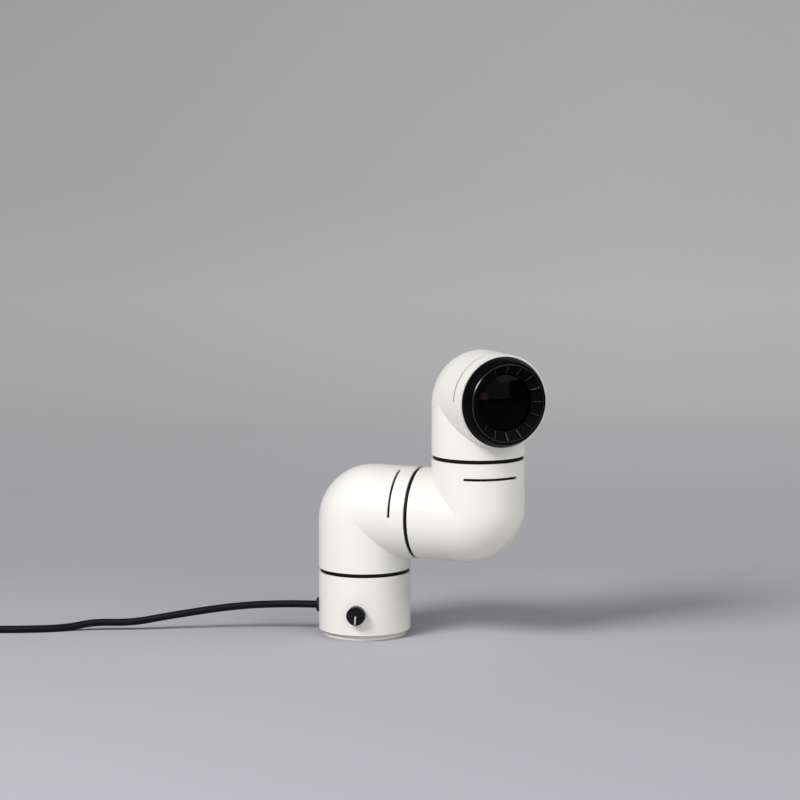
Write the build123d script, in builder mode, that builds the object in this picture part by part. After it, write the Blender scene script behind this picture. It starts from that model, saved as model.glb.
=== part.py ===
from build123d import *
import os
from math import asin, degrees, radians, tan

# Tabletop searchlight lamp, in millimetres.  The origin is on the base's axis, on the surface
# that the lamp stands on.  +Z is up, the dimmer knob faces -Y and the cord leaves towards -X.

# ---------------------------------------------------------------- tubes and elbows
tube_radius = 40.0
tube_wall = 1.6
seam_gap = 2.3
corner_reach = 52.2
bend_radius = 8.8
rim_round = 0.4
lower_azimuth = -11.6
head_azimuth = -57.6

slot_width = 1.7
slot_from_seam = 15.0
slot_start_angle = 15.0
slot_end_angle = 90.0

# ---------------------------------------------------------------- base
base_tube_length = 51.15
foot_inset = 2.7
foot_thickness = 4.3
pad_thickness = 0.8
pad_inset = 0.9
pad_recess = 1.0
ballast_thickness = 8.0
ballast_clearance = 0.2
lug_depth = 7.9
lug_width = 8.0
lug_height = 8.0
lug_count = 4

# ---------------------------------------------------------------- fits and fasteners
bond_clearance = 0.05
running_clearance = 0.05
moving_clearance = 0.3
screw_radius = 1.5
screw_hole_clearance = 0.05
screw_head_radius = 2.8
screw_head_height = 1.7
screw_slot_width = 0.8
screw_slot_depth = 0.8
screw_inset = 4.4
foot_screw_length = 13.0
chassis_screw_length = 15.8

# ---------------------------------------------------------------- swivels
collar_recess = 1.3
socket_web = 3.6
swivel_rim_depth = 6.0
swivel_rim_wall = 2.0
hub_web = 3.2
spindle_radius = 11.0
spindle_bore = 7.5
spindle_end_margin = 1.6
bush_wall = 1.5
thrust_land_radius = 18.0
spring_radius = 17.0
spring_thickness = 0.8
spring_rise = 1.0
retainer_radius = 14.0
retainer_thickness = 1.2
retainer_groove = 0.8
retainer_opening = 5.0
peg_radius = 1.5
peg_inset = 8.4
peg_groove_depth = 2.0
peg_side_clearance = 0.5
base_swivel_range = (-248.4, 91.6)
middle_swivel_range = (-100.0, 100.0)
head_swivel_range = (-170.0, 170.0)

# ---------------------------------------------------------------- chassis and transformer
chassis_height = 31.6
chassis_thickness = 1.6
chassis_clearance = 1.0
spacer_radius = 2.8
transformer_pad_radius = 28.0
transformer_pad_thickness = 1.0
transformer_clearance = 0.7
transformer_bore = 10.5
transformer_headroom = 1.75
transformer_round = 4.0
clamp_radius = 22.0
clamp_thickness = 1.2
bolt_radius = 7.0
bolt_bore = 5.0
bolt_nut_radius = 9.0
bolt_nut_height = 2.2
bolt_end_margin = 0.8
bolt_hole_clearance = 0.1

# ---------------------------------------------------------------- dimmer
control_height = 23.8
knob_radius = 8.1
knob_standoff = 1.0
knob_length = 6.5
knob_skirt_wall = 1.4
knob_recess = 2.4
knob_cap = 1.5
knob_round = 0.7
pointer_width = 1.2
pointer_depth = 0.4
pointer_angle = -94.0
shaft_radius = 3.0
bushing_radius = 4.5
bushing_length = 2.0
dimmer_nut_radius = 6.3
dimmer_nut_height = 1.7
dimmer_collar_radius = 6.2
dimmer_offset = 5.0
dimmer_depth = 9.0
dimmer_width = 16.0
dimmer_height = 13.6
shaft_bearing = 4.0

# ---------------------------------------------------------------- cord and its fittings
cord_radius = 3.2
gland_radius = 6.5
gland_height = 2.6
gland_round = 1.6
gland_shank_radius = 5.0
gland_nut_radius = 7.0
gland_nut_height = 3.0
terminal_face = 20.0
terminal_length = 10.0
terminal_width = 26.0
terminal_height = 14.0
terminal_ways = 3
terminal_pitch = 8.0
terminal_well_radius = 2.0
terminal_well_depth = 3.0

# ---------------------------------------------------------------- driver board and inner lead
board_height = 4.0
board_thickness = 1.6
board_clearance = 5.4
board_length = 22.0
board_width = 30.0
pillar_inset = 3.0
pillar_radius = 2.4
pillar_neck = 1.4
pillar_head_radius = 2.0
pillar_head_height = 1.2
choke_place = (13.0, 6.0)
choke_radius = 4.5
choke_height = 8.0
capacitor_places = [(9.0, -7.5), (16.5, -6.0)]
capacitor_radius = 3.0
capacitor_height = 9.0
connector_length = 5.0
connector_width = 8.0
connector_height = 6.5
lead_radius = 2.0
lead_height = 21.5
elbow_lead_bend = 34.0
end_lead_bend_share = 0.8
head_lead_drop = 11.0

# ---------------------------------------------------------------- head
bezel_spigot_depth = 8.0
bezel_wall = 1.8
bezel_side_height = 3.6
bezel_shoulder_width = 3.35
bezel_shoulder_height = 8.3
bezel_groove_width = 0.8
bezel_groove_depth = 0.5
bezel_crown_width = 2.1
bezel_lip_width = 0.7
bezel_front_height = 9.1
funnel_throat_radius = 24.0
funnel_throat_height = 2.9
funnel_steps = 3
funnel_riser = 1.2
rib_count = 16
rib_width = 0.9
rib_rise = 0.5
rib_start = 0.8
rib_end = 0.8
throat_lip = 1.0
glass_flange_radius = 25.6
glass_flange_thickness = 1.6
glass_thickness = 2.0
glass_dome_rise = 5.0
glass_collar = 0.7
glass_clearance = 0.15
seal_thickness = 1.2
shield_wall = 1.5
shield_mouth_radius = 22.4
shield_back_radius = 9.5
shield_rim_thickness = 1.5
shield_flange_radius = 18.5
shield_flange_thickness = 2.0
led_depth = 40.0
led_board_radius = 18.5
led_board_thickness = 1.6
led_chip_radius = 2.9
led_chip_thickness = 0.8
sink_radius = 20.0
sink_plate = 4.0
sink_depth = 17.0
fin_count = 7
fin_thickness = 1.6
fin_pitch = 5.2
sink_slot_width = 7.0
sink_slot_start = 7.0
head_screw_circle = 14.8
head_screw_count = 3
head_screw_length = 6.5
head_screw_start = 90.0

# ---------------------------------------------------------------- plug and coil
plug_length = 36.0
plug_width = 26.0
plug_thickness = 13.6
plug_nose_length = 14.0
plug_rear_width = 11.0
plug_round = 2.0
plug_relief_length = 12.0
plug_relief_radius = 5.0
plug_relief_end = 4.2
plug_azimuth = 80.0
plug_advance = 18.0
pin_radius = 2.0
pin_length = 19.0
pin_spacing = 17.8
pin_embedded = 4.0
pin_round = 1.0
turn_pitch = 6.4
coil_outer_turn = 42.6
coil_columns = 3
coil_layers = 2
coil_round = 2.5
tie_thickness = 0.8
tie_width = 12.0
tie_azimuth = 185.0

coil_centre = (-371.7, -106.8)
# The cord's route: from the terminals out through the gland, level at first, then falling slowly to
# the surface with a shallow wave, and along it into the coil.
cord_points = [
    (-20.0, 0.0, 23.8),
    (-68.0, 0.0, 23.8),
    (-113.7, -4.6, 21.4),
    (-171.6, -16.0, 12.7),
    (-204.0, -22.9, 6.6),
    (-236.5, -28.6, 7.4),
    (-256.8, -34.7, 3.2),
    (-280.2, -46.2, 3.2),
    (-329.4, -55.6, 3.2),
    (-378.5, -64.8, 3.2),
]

# ---------------------------------------------------------------- places worked out from these
half_gap = seam_gap / 2
bore_radius = tube_radius - tube_wall
spigot_radius = bore_radius - bond_clearance
foot_radius = tube_radius - foot_inset
screw_circle = bore_radius - screw_inset
foot_top = pad_thickness + foot_thickness
base_top = foot_top + base_tube_length
ballast_top = foot_top + ballast_thickness
lug_top = ballast_top + lug_height
chassis_top = chassis_height + chassis_thickness
board_base = ballast_top + board_height
board_top = board_base + board_thickness
board_start = bore_radius - board_clearance - board_length

up = Vector(0, 0, 1)
lower_direction = Vector(1, 0, 0).rotate(Axis.Z, lower_azimuth)
head_direction = Vector(1, 0, 0).rotate(Axis.Z, head_azimuth)

# A seam's plane: its origin is in the middle of the gap, on the swivel's axis, Z points along
# the axis into the next elbow, and X points where that elbow's outlet points.
base_seam = Plane(origin=up * (base_top + half_gap), x_dir=lower_direction, z_dir=up)
lower_corner = base_seam.origin + up * corner_reach
lower_seam = Plane(origin=lower_corner + lower_direction * corner_reach, x_dir=up, z_dir=lower_direction)
middle_corner = lower_seam.origin + lower_direction * corner_reach
middle_seam = Plane(origin=middle_corner + up * corner_reach, x_dir=head_direction, z_dir=up)
head_corner = middle_seam.origin + up * corner_reach
# The head's rim: Z points forward out of the tube and Y is up.
rim = Plane(
    origin=head_corner + head_direction * (corner_reach - half_gap),
    x_dir=up.cross(head_direction),
    z_dir=head_direction,
)
# Radial planes on the base's wall: Z points out of the base and Y is up.
knob_face = Plane(origin=(0, -tube_radius, control_height), x_dir=(1, 0, 0), z_dir=(0, -1, 0))
gland_face = Plane(origin=(-tube_radius, 0, control_height), x_dir=(0, -1, 0), z_dir=(-1, 0, 0))

os.makedirs("parts", exist_ok=True)


def finish(piece, name):
    """Label a finished piece and write it as its own node."""
    piece.part.label = name
    export_step(piece.part, f"parts/{name}.step")


# ---------------------------------------------------------------- shared shapes
def disc(plane, radius, thickness, mode=Mode.ADD):
    """A round disc that stands on the plane, in the part being built."""
    with BuildSketch(plane) as outline:
        Circle(radius)
    extrude(outline.sketch, amount=thickness, mode=mode)


def ring(plane, outer, inner, thickness, mode=Mode.ADD):
    """A flat ring that stands on the plane, in the part being built."""
    with BuildSketch(plane) as outline:
        Circle(outer)
        Circle(inner, mode=Mode.SUBTRACT)
    extrude(outline.sketch, amount=thickness, mode=mode)


def section_plane(frame, angle=0.0):
    """The plane through the frame's axis whose X points outward at the angle, and Y along the axis."""
    outward = frame.x_dir.rotate(Axis((0, 0, 0), frame.z_dir), angle)
    return Plane(origin=frame.origin, x_dir=outward, z_dir=outward.cross(frame.z_dir))


def turned(frame, *outline, mode=Mode.ADD):
    """A turned shape from an outline of (radius, height) points, in the part being built."""
    with BuildSketch(section_plane(frame)) as half:
        with BuildLine():
            Polyline(*outline, close=True)
        make_face()
    revolve(half.sketch, axis=Axis(frame.origin, frame.z_dir), mode=mode)


def screw(head_plane, length):
    """A pan-head screw: its head stands on the plane and its shank goes the other way."""
    disc(head_plane, screw_head_radius, screw_head_height)
    disc(head_plane, screw_radius, -length)
    with BuildSketch(head_plane.offset(screw_head_height - screw_slot_depth)) as slot:
        Rectangle(2 * screw_head_radius, screw_slot_width)
    extrude(slot.sketch, amount=screw_slot_depth, mode=Mode.SUBTRACT)


def lug_planes(height):
    """Planes at the height over the base's screws, each with X pointing outward."""
    step = 360.0 / lug_count
    outward = [Vector(1, 0, 0).rotate(Axis.Z, (index + 0.5) * step) for index in range(lug_count)]
    return [Plane(origin=way * screw_circle + up * height, x_dir=way, z_dir=up) for way in outward]


def corner_radii(points):
    """The largest arcs that a route's corners allow, one for each corner."""
    places = [Vector(*point) for point in points]
    runs = [end - start for start, end in zip(places, places[1:])]
    radii = []
    for before, after in zip(runs, runs[1:]):
        half_turn = radians(before.get_angle(after)) / 2
        radii.append(0.45 * min(before.length, after.length) / tan(half_turn))
    return radii


def flex(points, radii, radius):
    """A round cord along straight runs joined by arcs."""
    places = [Vector(*point) for point in points]
    with BuildPart() as cord:
        with BuildLine() as route:
            FilletPolyline(*places, radius=radii)
        with BuildSketch(Plane(origin=places[0], z_dir=places[1] - places[0])):
            Circle(radius)
        sweep(path=route.wires()[0])
    return cord


# ---------------------------------------------------------------- elbows
def elbow_solid(frame, radius):
    """A solid elbow from the seam's plane: two straight legs that meet in a crease on the inner side,
    and a tight round bend on the outer side."""
    bend_height = corner_reach - bend_radius
    bend_centre = frame.from_local_coords((bend_radius, 0, bend_height))
    outlet = Plane(
        origin=frame.from_local_coords((bend_radius, 0, corner_reach)),
        x_dir=frame.y_dir,
        z_dir=frame.x_dir,
    )
    with BuildPart() as solid:
        disc(frame.offset(half_gap), radius, bend_height - half_gap)
        disc(outlet, radius, corner_reach - bend_radius - half_gap)
        with BuildSketch(frame.offset(bend_height)):
            Circle(radius)
            with Locations((bend_radius + radius, 0)):
                Rectangle(2 * radius, 2 * radius, mode=Mode.SUBTRACT)
        revolve(axis=Axis(bend_centre, frame.y_dir), revolution_arc=90)
    return solid


def slot_cuts(frame):
    """The two curved vent slots round the outlet, one on each side of the elbow's outer line."""
    outlet = Plane(origin=frame.from_local_coords((0, 0, corner_reach)), x_dir=frame.z_dir, z_dir=frame.x_dir)
    arc = slot_end_angle - slot_start_angle
    for side in (-1, 1):
        with BuildSketch(section_plane(outlet, side * slot_start_angle)) as profile:
            with Locations((tube_radius - tube_wall / 2, corner_reach - slot_from_seam)):
                Rectangle(2 * tube_wall, slot_width)
        revolve(
            profile.sketch,
            axis=Axis(outlet.origin, outlet.z_dir),
            revolution_arc=side * arc,
            mode=Mode.SUBTRACT,
        )


def elbow(frame):
    """A white tube elbow from the seam's plane."""
    outer = elbow_solid(frame, tube_radius)
    inner = elbow_solid(frame, bore_radius)
    with BuildPart() as shell:
        add(outer.part)
        add(inner.part, mode=Mode.SUBTRACT)
        rims = shell.edges().filter_by(GeomType.CIRCLE)
        rims = rims.filter_by(lambda edge: abs(edge.radius - tube_radius) < bond_clearance)
        rims = rims.filter_by(lambda edge: edge.is_closed)
        chamfer(rims, length=rim_round)
        slot_cuts(frame)
    return shell


lower_elbow = elbow(base_seam)
middle_elbow = elbow(lower_seam)
head_elbow = elbow(middle_seam)
finish(lower_elbow, "lower_elbow")
finish(middle_elbow, "middle_elbow")
finish(head_elbow, "head_elbow")


# ---------------------------------------------------------------- swivels
running_face = half_gap - moving_clearance
thrust_face = running_face + running_clearance
web_bottom = running_face - socket_web
hub_top = half_gap + hub_web
retainer_base = hub_top + spring_thickness + spring_rise
spindle_end = retainer_base + retainer_thickness + spindle_end_margin
bush_radius = spindle_radius + running_clearance + bush_wall
peg_circle = bore_radius - peg_inset
peg_bottom = running_face - peg_groove_depth + moving_clearance


def swivel_socket(frame, travel):
    """The black socket in the outlet before a seam: its collar fills the gap, a hollow spindle carries
    the next elbow and a groove with a stop block limits the peg."""
    collar_radius = tube_radius - collar_recess
    rim_inner = spigot_radius - swivel_rim_wall
    peg_half_angle = degrees(asin((peg_radius + moving_clearance) / peg_circle))
    groove_arc = travel[1] - travel[0] + 2 * peg_half_angle
    block_middle = (travel[0] + travel[1]) / 2
    groove_start = block_middle + (360.0 - groove_arc) / 2
    groove_width = 2 * (peg_radius + peg_side_clearance)
    with BuildPart() as socket:
        turned(
            frame,
            (spindle_bore, web_bottom),
            (rim_inner, web_bottom),
            (rim_inner, -swivel_rim_depth),
            (spigot_radius, -swivel_rim_depth),
            (spigot_radius, -half_gap),
            (collar_radius, -half_gap),
            (collar_radius, running_face),
            (spindle_radius, running_face),
            (spindle_radius, spindle_end),
            (spindle_bore, spindle_end),
        )
        ring(
            frame.offset(retainer_base),
            spindle_radius + running_clearance,
            spindle_radius - retainer_groove,
            retainer_thickness,
            mode=Mode.SUBTRACT,
        )
        with BuildSketch(section_plane(frame, groove_start)):
            with Locations((peg_circle, running_face)):
                Rectangle(groove_width, 2 * peg_groove_depth)
        revolve(axis=Axis(frame.origin, frame.z_dir), revolution_arc=groove_arc, mode=Mode.SUBTRACT)
    return socket


def swivel_hub(frame):
    """The black hub in the inlet after a seam, which turns on the spindle. Its moulded peg, opposite the
    elbow's outlet, runs in the socket's groove."""
    rim_inner = spigot_radius - swivel_rim_wall
    with BuildPart() as hub:
        turned(
            frame,
            (bush_radius, thrust_face),
            (thrust_land_radius, thrust_face),
            (thrust_land_radius, half_gap),
            (spigot_radius, half_gap),
            (spigot_radius, swivel_rim_depth),
            (rim_inner, swivel_rim_depth),
            (rim_inner, hub_top),
            (bush_radius, hub_top),
        )
        peg_foot = Plane(origin=frame.from_local_coords((-peg_circle, 0, peg_bottom)), z_dir=frame.z_dir)
        disc(peg_foot, peg_radius, hub_top - peg_bottom)
    return hub


def swivel_bush(frame):
    """The sleeve between hub and spindle."""
    with BuildPart() as bush:
        ring(
            frame.offset(thrust_face),
            bush_radius - bond_clearance,
            spindle_radius + running_clearance,
            hub_top - thrust_face,
        )
    return bush


def spring_washer(frame):
    """The coned washer that gives the swivel its friction."""
    inner = spindle_radius + moving_clearance
    with BuildPart() as washer:
        turned(
            frame,
            (inner, hub_top + spring_rise),
            (spring_radius, hub_top),
            (spring_radius, hub_top + spring_thickness),
            (inner, hub_top + spring_rise + spring_thickness),
        )
    return washer


def retaining_ring(frame):
    """The open ring in the spindle's groove."""
    with BuildPart() as retainer:
        ring(
            frame.offset(retainer_base),
            retainer_radius,
            spindle_radius - retainer_groove,
            retainer_thickness,
        )
        with BuildSketch(frame.offset(retainer_base)):
            with Locations((retainer_radius, 0)):
                Rectangle(retainer_radius, retainer_opening)
        extrude(amount=retainer_thickness, mode=Mode.SUBTRACT)
    return retainer


swivels = [
    ("base", "lower", base_seam, base_swivel_range),
    ("lower", "middle", lower_seam, middle_swivel_range),
    ("middle", "head", middle_seam, head_swivel_range),
]
for carrier, follower, seam, swivel_range in swivels:
    finish(swivel_socket(seam, swivel_range), f"{carrier}_socket")
    finish(swivel_hub(seam), f"{follower}_hub")
    finish(swivel_bush(seam), f"{follower}_bush")
    finish(spring_washer(seam), f"{follower}_spring_washer")
    finish(retaining_ring(seam), f"{carrier}_retaining_ring")


# ---------------------------------------------------------------- base
screw_hole = screw_radius + screw_hole_clearance
screw_head_hole = screw_head_radius + screw_hole_clearance
foot_screw_head = pad_thickness + pad_recess + screw_head_height
gland_hole = gland_shank_radius + bond_clearance
bushing_hole = bushing_radius + bond_clearance

with BuildPart() as base_shell:
    ring(Plane.XY.offset(foot_top), tube_radius, bore_radius, base_tube_length)
    base_rims = base_shell.edges().filter_by(GeomType.CIRCLE)
    base_rims = base_rims.filter_by(lambda edge: abs(edge.radius - tube_radius) < bond_clearance)
    chamfer(base_rims, length=rim_round)
    for lug in lug_planes(ballast_top):
        with BuildSketch(lug):
            with Locations((screw_inset - lug_depth, 0)):
                Rectangle(lug_depth + tube_wall / 2, lug_width, align=(Align.MIN, Align.CENTER))
        extrude(amount=lug_height)
        disc(lug, screw_hole, lug_height, mode=Mode.SUBTRACT)
    disc(knob_face.offset(-2 * tube_wall), bushing_hole, 3 * tube_wall, mode=Mode.SUBTRACT)
    disc(gland_face.offset(-2 * tube_wall), gland_hole, 3 * tube_wall, mode=Mode.SUBTRACT)
finish(base_shell, "base_shell")

with BuildPart() as foot_plate:
    disc(Plane.XY.offset(pad_thickness), foot_radius, foot_thickness)
    chamfer(foot_plate.edges().group_by(Axis.Z)[0], length=rim_round)
    disc(
        Plane.XY.offset(pad_thickness),
        foot_radius - pad_inset + bond_clearance,
        pad_recess,
        mode=Mode.SUBTRACT,
    )
    for lug in lug_planes(foot_screw_head):
        disc(lug, screw_head_hole, -screw_head_height, mode=Mode.SUBTRACT)
        disc(lug, screw_hole, foot_thickness, mode=Mode.SUBTRACT)
finish(foot_plate, "foot_plate")

with BuildPart() as foot_pad:
    disc(Plane.XY, foot_radius - pad_inset, pad_thickness + pad_recess)
finish(foot_pad, "foot_pad")

with BuildPart() as ballast:
    disc(Plane.XY.offset(foot_top), bore_radius - ballast_clearance, ballast_thickness)
    for lug in lug_planes(foot_top):
        disc(lug, screw_hole, ballast_thickness, mode=Mode.SUBTRACT)
finish(ballast, "ballast")

with BuildPart() as foot_screws:
    for lug in lug_planes(foot_screw_head):
        screw(Plane(origin=lug.origin, x_dir=lug.x_dir, z_dir=-up), foot_screw_length)
finish(foot_screws, "foot_screws")

with BuildPart() as chassis_spacers:
    for lug in lug_planes(lug_top):
        ring(lug, spacer_radius, screw_hole, chassis_height - lug_top)
finish(chassis_spacers, "chassis_spacers")

with BuildPart() as chassis_plate:
    ring(
        Plane.XY.offset(chassis_height),
        bore_radius - chassis_clearance,
        bolt_radius + bolt_hole_clearance,
        chassis_thickness,
    )
    for lug in lug_planes(chassis_height):
        disc(lug, screw_hole, chassis_thickness, mode=Mode.SUBTRACT)
finish(chassis_plate, "chassis_plate")

with BuildPart() as chassis_screws:
    for lug in lug_planes(chassis_top):
        screw(lug, chassis_screw_length)
finish(chassis_screws, "chassis_screws")


# ---------------------------------------------------------------- transformer
bolt_hole = bolt_radius + bolt_hole_clearance
bolt_bottom = chassis_height - bolt_nut_height - bolt_end_margin
bolt_top = base_seam.origin.Z + web_bottom - transformer_headroom
clamp_top = bolt_top - bolt_end_margin - bolt_nut_height
transformer_base = chassis_top + transformer_pad_thickness
transformer_top = clamp_top - clamp_thickness
transformer_radius = screw_circle - screw_head_radius - transformer_clearance

with BuildPart() as transformer_pad:
    ring(Plane.XY.offset(chassis_top), transformer_pad_radius, bolt_hole, transformer_pad_thickness)
finish(transformer_pad, "transformer_pad")

with BuildPart() as transformer:
    ring(
        Plane.XY.offset(transformer_base),
        transformer_radius,
        transformer_bore,
        transformer_top - transformer_base,
    )
    outer_edges = transformer.edges().filter_by(GeomType.CIRCLE).group_by(SortBy.RADIUS)[-1]
    fillet(outer_edges, radius=transformer_round)
finish(transformer, "transformer")

with BuildPart() as transformer_clamp:
    ring(Plane.XY.offset(transformer_top), clamp_radius, bolt_hole, clamp_thickness)
finish(transformer_clamp, "transformer_clamp")

with BuildPart() as hollow_bolt:
    ring(Plane.XY.offset(bolt_bottom), bolt_radius, bolt_bore, bolt_top - bolt_bottom)
finish(hollow_bolt, "hollow_bolt")

with BuildPart() as hollow_bolt_nuts:
    for nut_base in (chassis_height - bolt_nut_height, clamp_top):
        with BuildSketch(Plane.XY.offset(nut_base)):
            RegularPolygon(bolt_nut_radius, 6)
            Circle(bolt_radius + bond_clearance, mode=Mode.SUBTRACT)
        extrude(amount=bolt_nut_height)
finish(hollow_bolt_nuts, "hollow_bolt_nuts")


# ---------------------------------------------------------------- dimmer
dimmer_front = -dimmer_offset
collar_dip = bore_radius - (bore_radius**2 - dimmer_collar_radius**2) ** 0.5
collar_top = -tube_wall - collar_dip - bond_clearance
shaft_bottom = dimmer_front - shaft_bearing
shaft_top = knob_standoff + knob_length - knob_cap
knob_front = knob_standoff + knob_length
pointer_length = knob_radius - knob_round

with BuildPart() as dimmer_body:
    with BuildSketch(knob_face.offset(dimmer_front - dimmer_depth)):
        Rectangle(dimmer_width, dimmer_height)
    extrude(amount=dimmer_depth)
    disc(knob_face.offset(dimmer_front), dimmer_collar_radius, collar_top - dimmer_front)
    disc(knob_face.offset(dimmer_front), bushing_radius, bushing_length - dimmer_front)
    disc(
        knob_face.offset(shaft_bottom - moving_clearance),
        shaft_radius + running_clearance,
        dimmer_depth + bushing_length - dimmer_front,
        mode=Mode.SUBTRACT,
    )
finish(dimmer_body, "dimmer_body")

with BuildPart() as dimmer_nut:
    with BuildSketch(knob_face.offset(bond_clearance)):
        RegularPolygon(dimmer_nut_radius, 6)
        Circle(bushing_radius + bond_clearance, mode=Mode.SUBTRACT)
    extrude(amount=dimmer_nut_height)
finish(dimmer_nut, "dimmer_nut")

with BuildPart() as dimmer_shaft:
    disc(knob_face.offset(shaft_bottom), shaft_radius, shaft_top - shaft_bottom)
finish(dimmer_shaft, "dimmer_shaft")

with BuildPart() as knob_pointer:
    with BuildSketch(knob_face.offset(knob_front - pointer_depth)):
        with PolarLocations(pointer_length / 2, 1, start_angle=pointer_angle):
            Rectangle(pointer_length, pointer_width)
    extrude(amount=pointer_depth)
finish(knob_pointer, "knob_pointer")

with BuildPart() as dimmer_knob:
    disc(knob_face.offset(knob_standoff), knob_radius, knob_length)
    front_edge = dimmer_knob.edges().filter_by(GeomType.CIRCLE).sort_by(Axis.Y)[0]
    fillet(front_edge, radius=knob_round)
    disc(knob_face.offset(knob_standoff), knob_radius - knob_skirt_wall, knob_recess, mode=Mode.SUBTRACT)
    disc(
        knob_face.offset(knob_standoff),
        shaft_radius + bond_clearance,
        shaft_top - knob_standoff,
        mode=Mode.SUBTRACT,
    )
    add(knob_pointer.part, mode=Mode.SUBTRACT)
finish(dimmer_knob, "dimmer_knob")


# ---------------------------------------------------------------- cord gland and terminals
cord_bore = cord_radius + bond_clearance
wall_dip = bore_radius - (bore_radius**2 - gland_nut_radius**2) ** 0.5
gland_nut_top = -tube_wall - wall_dip - bond_clearance
gland_nut_bottom = gland_nut_top - gland_nut_height

with BuildPart() as cord_gland:
    disc(gland_face.offset(-gland_round), gland_radius, gland_height + gland_round)
    flange_edge = cord_gland.edges().filter_by(GeomType.CIRCLE).sort_by(Axis.X)[0]
    fillet(flange_edge, radius=gland_round)
    disc(Plane.XY, tube_radius + bond_clearance, 2 * control_height, mode=Mode.SUBTRACT)
    disc(
        gland_face.offset(gland_nut_bottom - bond_clearance),
        gland_shank_radius,
        -gland_nut_bottom + gland_height / 2,
    )
    disc(
        gland_face.offset(2 * gland_nut_bottom),
        cord_bore,
        gland_height - 2 * gland_nut_bottom,
        mode=Mode.SUBTRACT,
    )
finish(cord_gland, "cord_gland")

with BuildPart() as gland_nut:
    with BuildSketch(gland_face.offset(gland_nut_bottom)):
        RegularPolygon(gland_nut_radius, 6)
        Circle(gland_hole, mode=Mode.SUBTRACT)
    extrude(amount=gland_nut_height)
finish(gland_nut, "gland_nut")

with BuildPart() as terminal_block:
    with BuildSketch(Plane.XY.offset(ballast_top)):
        with Locations((-terminal_face + terminal_length / 2, 0)):
            Rectangle(terminal_length, terminal_width)
    extrude(amount=terminal_height)
    with BuildSketch(Plane.XY.offset(ballast_top + terminal_height)):
        with Locations((-terminal_face + terminal_length / 2, 0)):
            with GridLocations(0, terminal_pitch, 1, terminal_ways):
                Circle(terminal_well_radius)
    extrude(amount=-terminal_well_depth, mode=Mode.SUBTRACT)
finish(terminal_block, "terminal_block")


# ---------------------------------------------------------------- driver board
board_middle = Vector(board_start + board_length / 2, 0, 0)
pillar_pitch_x = board_length - 2 * pillar_inset
pillar_pitch_y = board_width - 2 * pillar_inset

with BuildPart() as driver_board:
    with BuildSketch(Plane(origin=board_middle + up * board_base)):
        Rectangle(board_length, board_width)
        with GridLocations(pillar_pitch_x, pillar_pitch_y, 2, 2):
            Circle(pillar_neck + bond_clearance, mode=Mode.SUBTRACT)
    extrude(amount=board_thickness)
finish(driver_board, "driver_board")

with BuildPart() as driver_pillars:
    pillar_stages = [
        (ballast_top, pillar_radius, board_height),
        (board_base, pillar_neck, board_thickness),
        (board_top, pillar_head_radius, pillar_head_height),
    ]
    for stage_height, stage_radius, stage_length in pillar_stages:
        with BuildSketch(Plane(origin=board_middle + up * stage_height)):
            with GridLocations(pillar_pitch_x, pillar_pitch_y, 2, 2):
                Circle(stage_radius)
        extrude(amount=stage_length)
finish(driver_pillars, "driver_pillars")

with BuildPart() as driver_components:
    board_corner = Vector(board_start, 0, board_top)
    disc(Plane(origin=board_corner + Vector(*choke_place)), choke_radius, choke_height)
    for capacitor_place in capacitor_places:
        disc(Plane(origin=board_corner + Vector(*capacitor_place)), capacitor_radius, capacitor_height)
finish(driver_components, "driver_components")

with BuildPart() as lead_connector:
    with BuildSketch(Plane.XY.offset(board_top)):
        with Locations((board_start + connector_length / 2, 0)):
            Rectangle(connector_length, connector_width)
    extrude(amount=connector_height)
finish(lead_connector, "lead_connector")


# ---------------------------------------------------------------- inner lead
led_board_back = corner_reach - half_gap - led_depth - led_board_thickness
lead_turn = head_corner - up * head_lead_drop
lead_end = lead_turn + head_direction * led_board_back
base_lead_bend = end_lead_bend_share * board_start
head_lead_bend = end_lead_bend_share * led_board_back
lead_routes = [
    ("base_lead", base_lead_bend, [(board_start, 0, lead_height), (0, 0, lead_height), base_seam.origin]),
    ("lower_lead", elbow_lead_bend, [base_seam.origin, lower_corner, lower_seam.origin]),
    ("middle_lead", elbow_lead_bend, [lower_seam.origin, middle_corner, middle_seam.origin]),
    ("head_lead", head_lead_bend, [middle_seam.origin, lead_turn, lead_end]),
]
for lead_name, lead_bend, lead_points in lead_routes:
    finish(flex(lead_points, lead_bend, lead_radius), lead_name)


# ---------------------------------------------------------------- head
glass_seat = funnel_throat_height - throat_lip
flange_bottom = glass_seat - glass_flange_thickness
seal_bottom = flange_bottom - seal_thickness
seat_radius = glass_flange_radius + glass_clearance
seat_bottom = seal_bottom - shield_rim_thickness - bezel_wall / 2
seat_outer_radius = seat_radius + bezel_wall
bezel_shoulder_radius = spigot_radius - bezel_shoulder_width
bezel_front_radius = bezel_shoulder_radius - bezel_crown_width
funnel_mouth_radius = bezel_front_radius - bezel_lip_width
funnel_width = funnel_mouth_radius - funnel_throat_radius
funnel_slope = (bezel_front_height - funnel_throat_height) / funnel_width


def funnel_height(radius):
    """The height of the funnel's straight line at a radius."""
    return funnel_throat_height + (radius - funnel_throat_radius) * funnel_slope


funnel_outline = [(funnel_throat_radius, glass_seat), (funnel_throat_radius, funnel_throat_height)]
for step in range(1, funnel_steps + 1):
    step_radius = funnel_throat_radius + funnel_width * step / funnel_steps
    funnel_outline.append((step_radius, funnel_height(step_radius) - funnel_riser))
    funnel_outline.append((step_radius, funnel_height(step_radius)))

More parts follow.
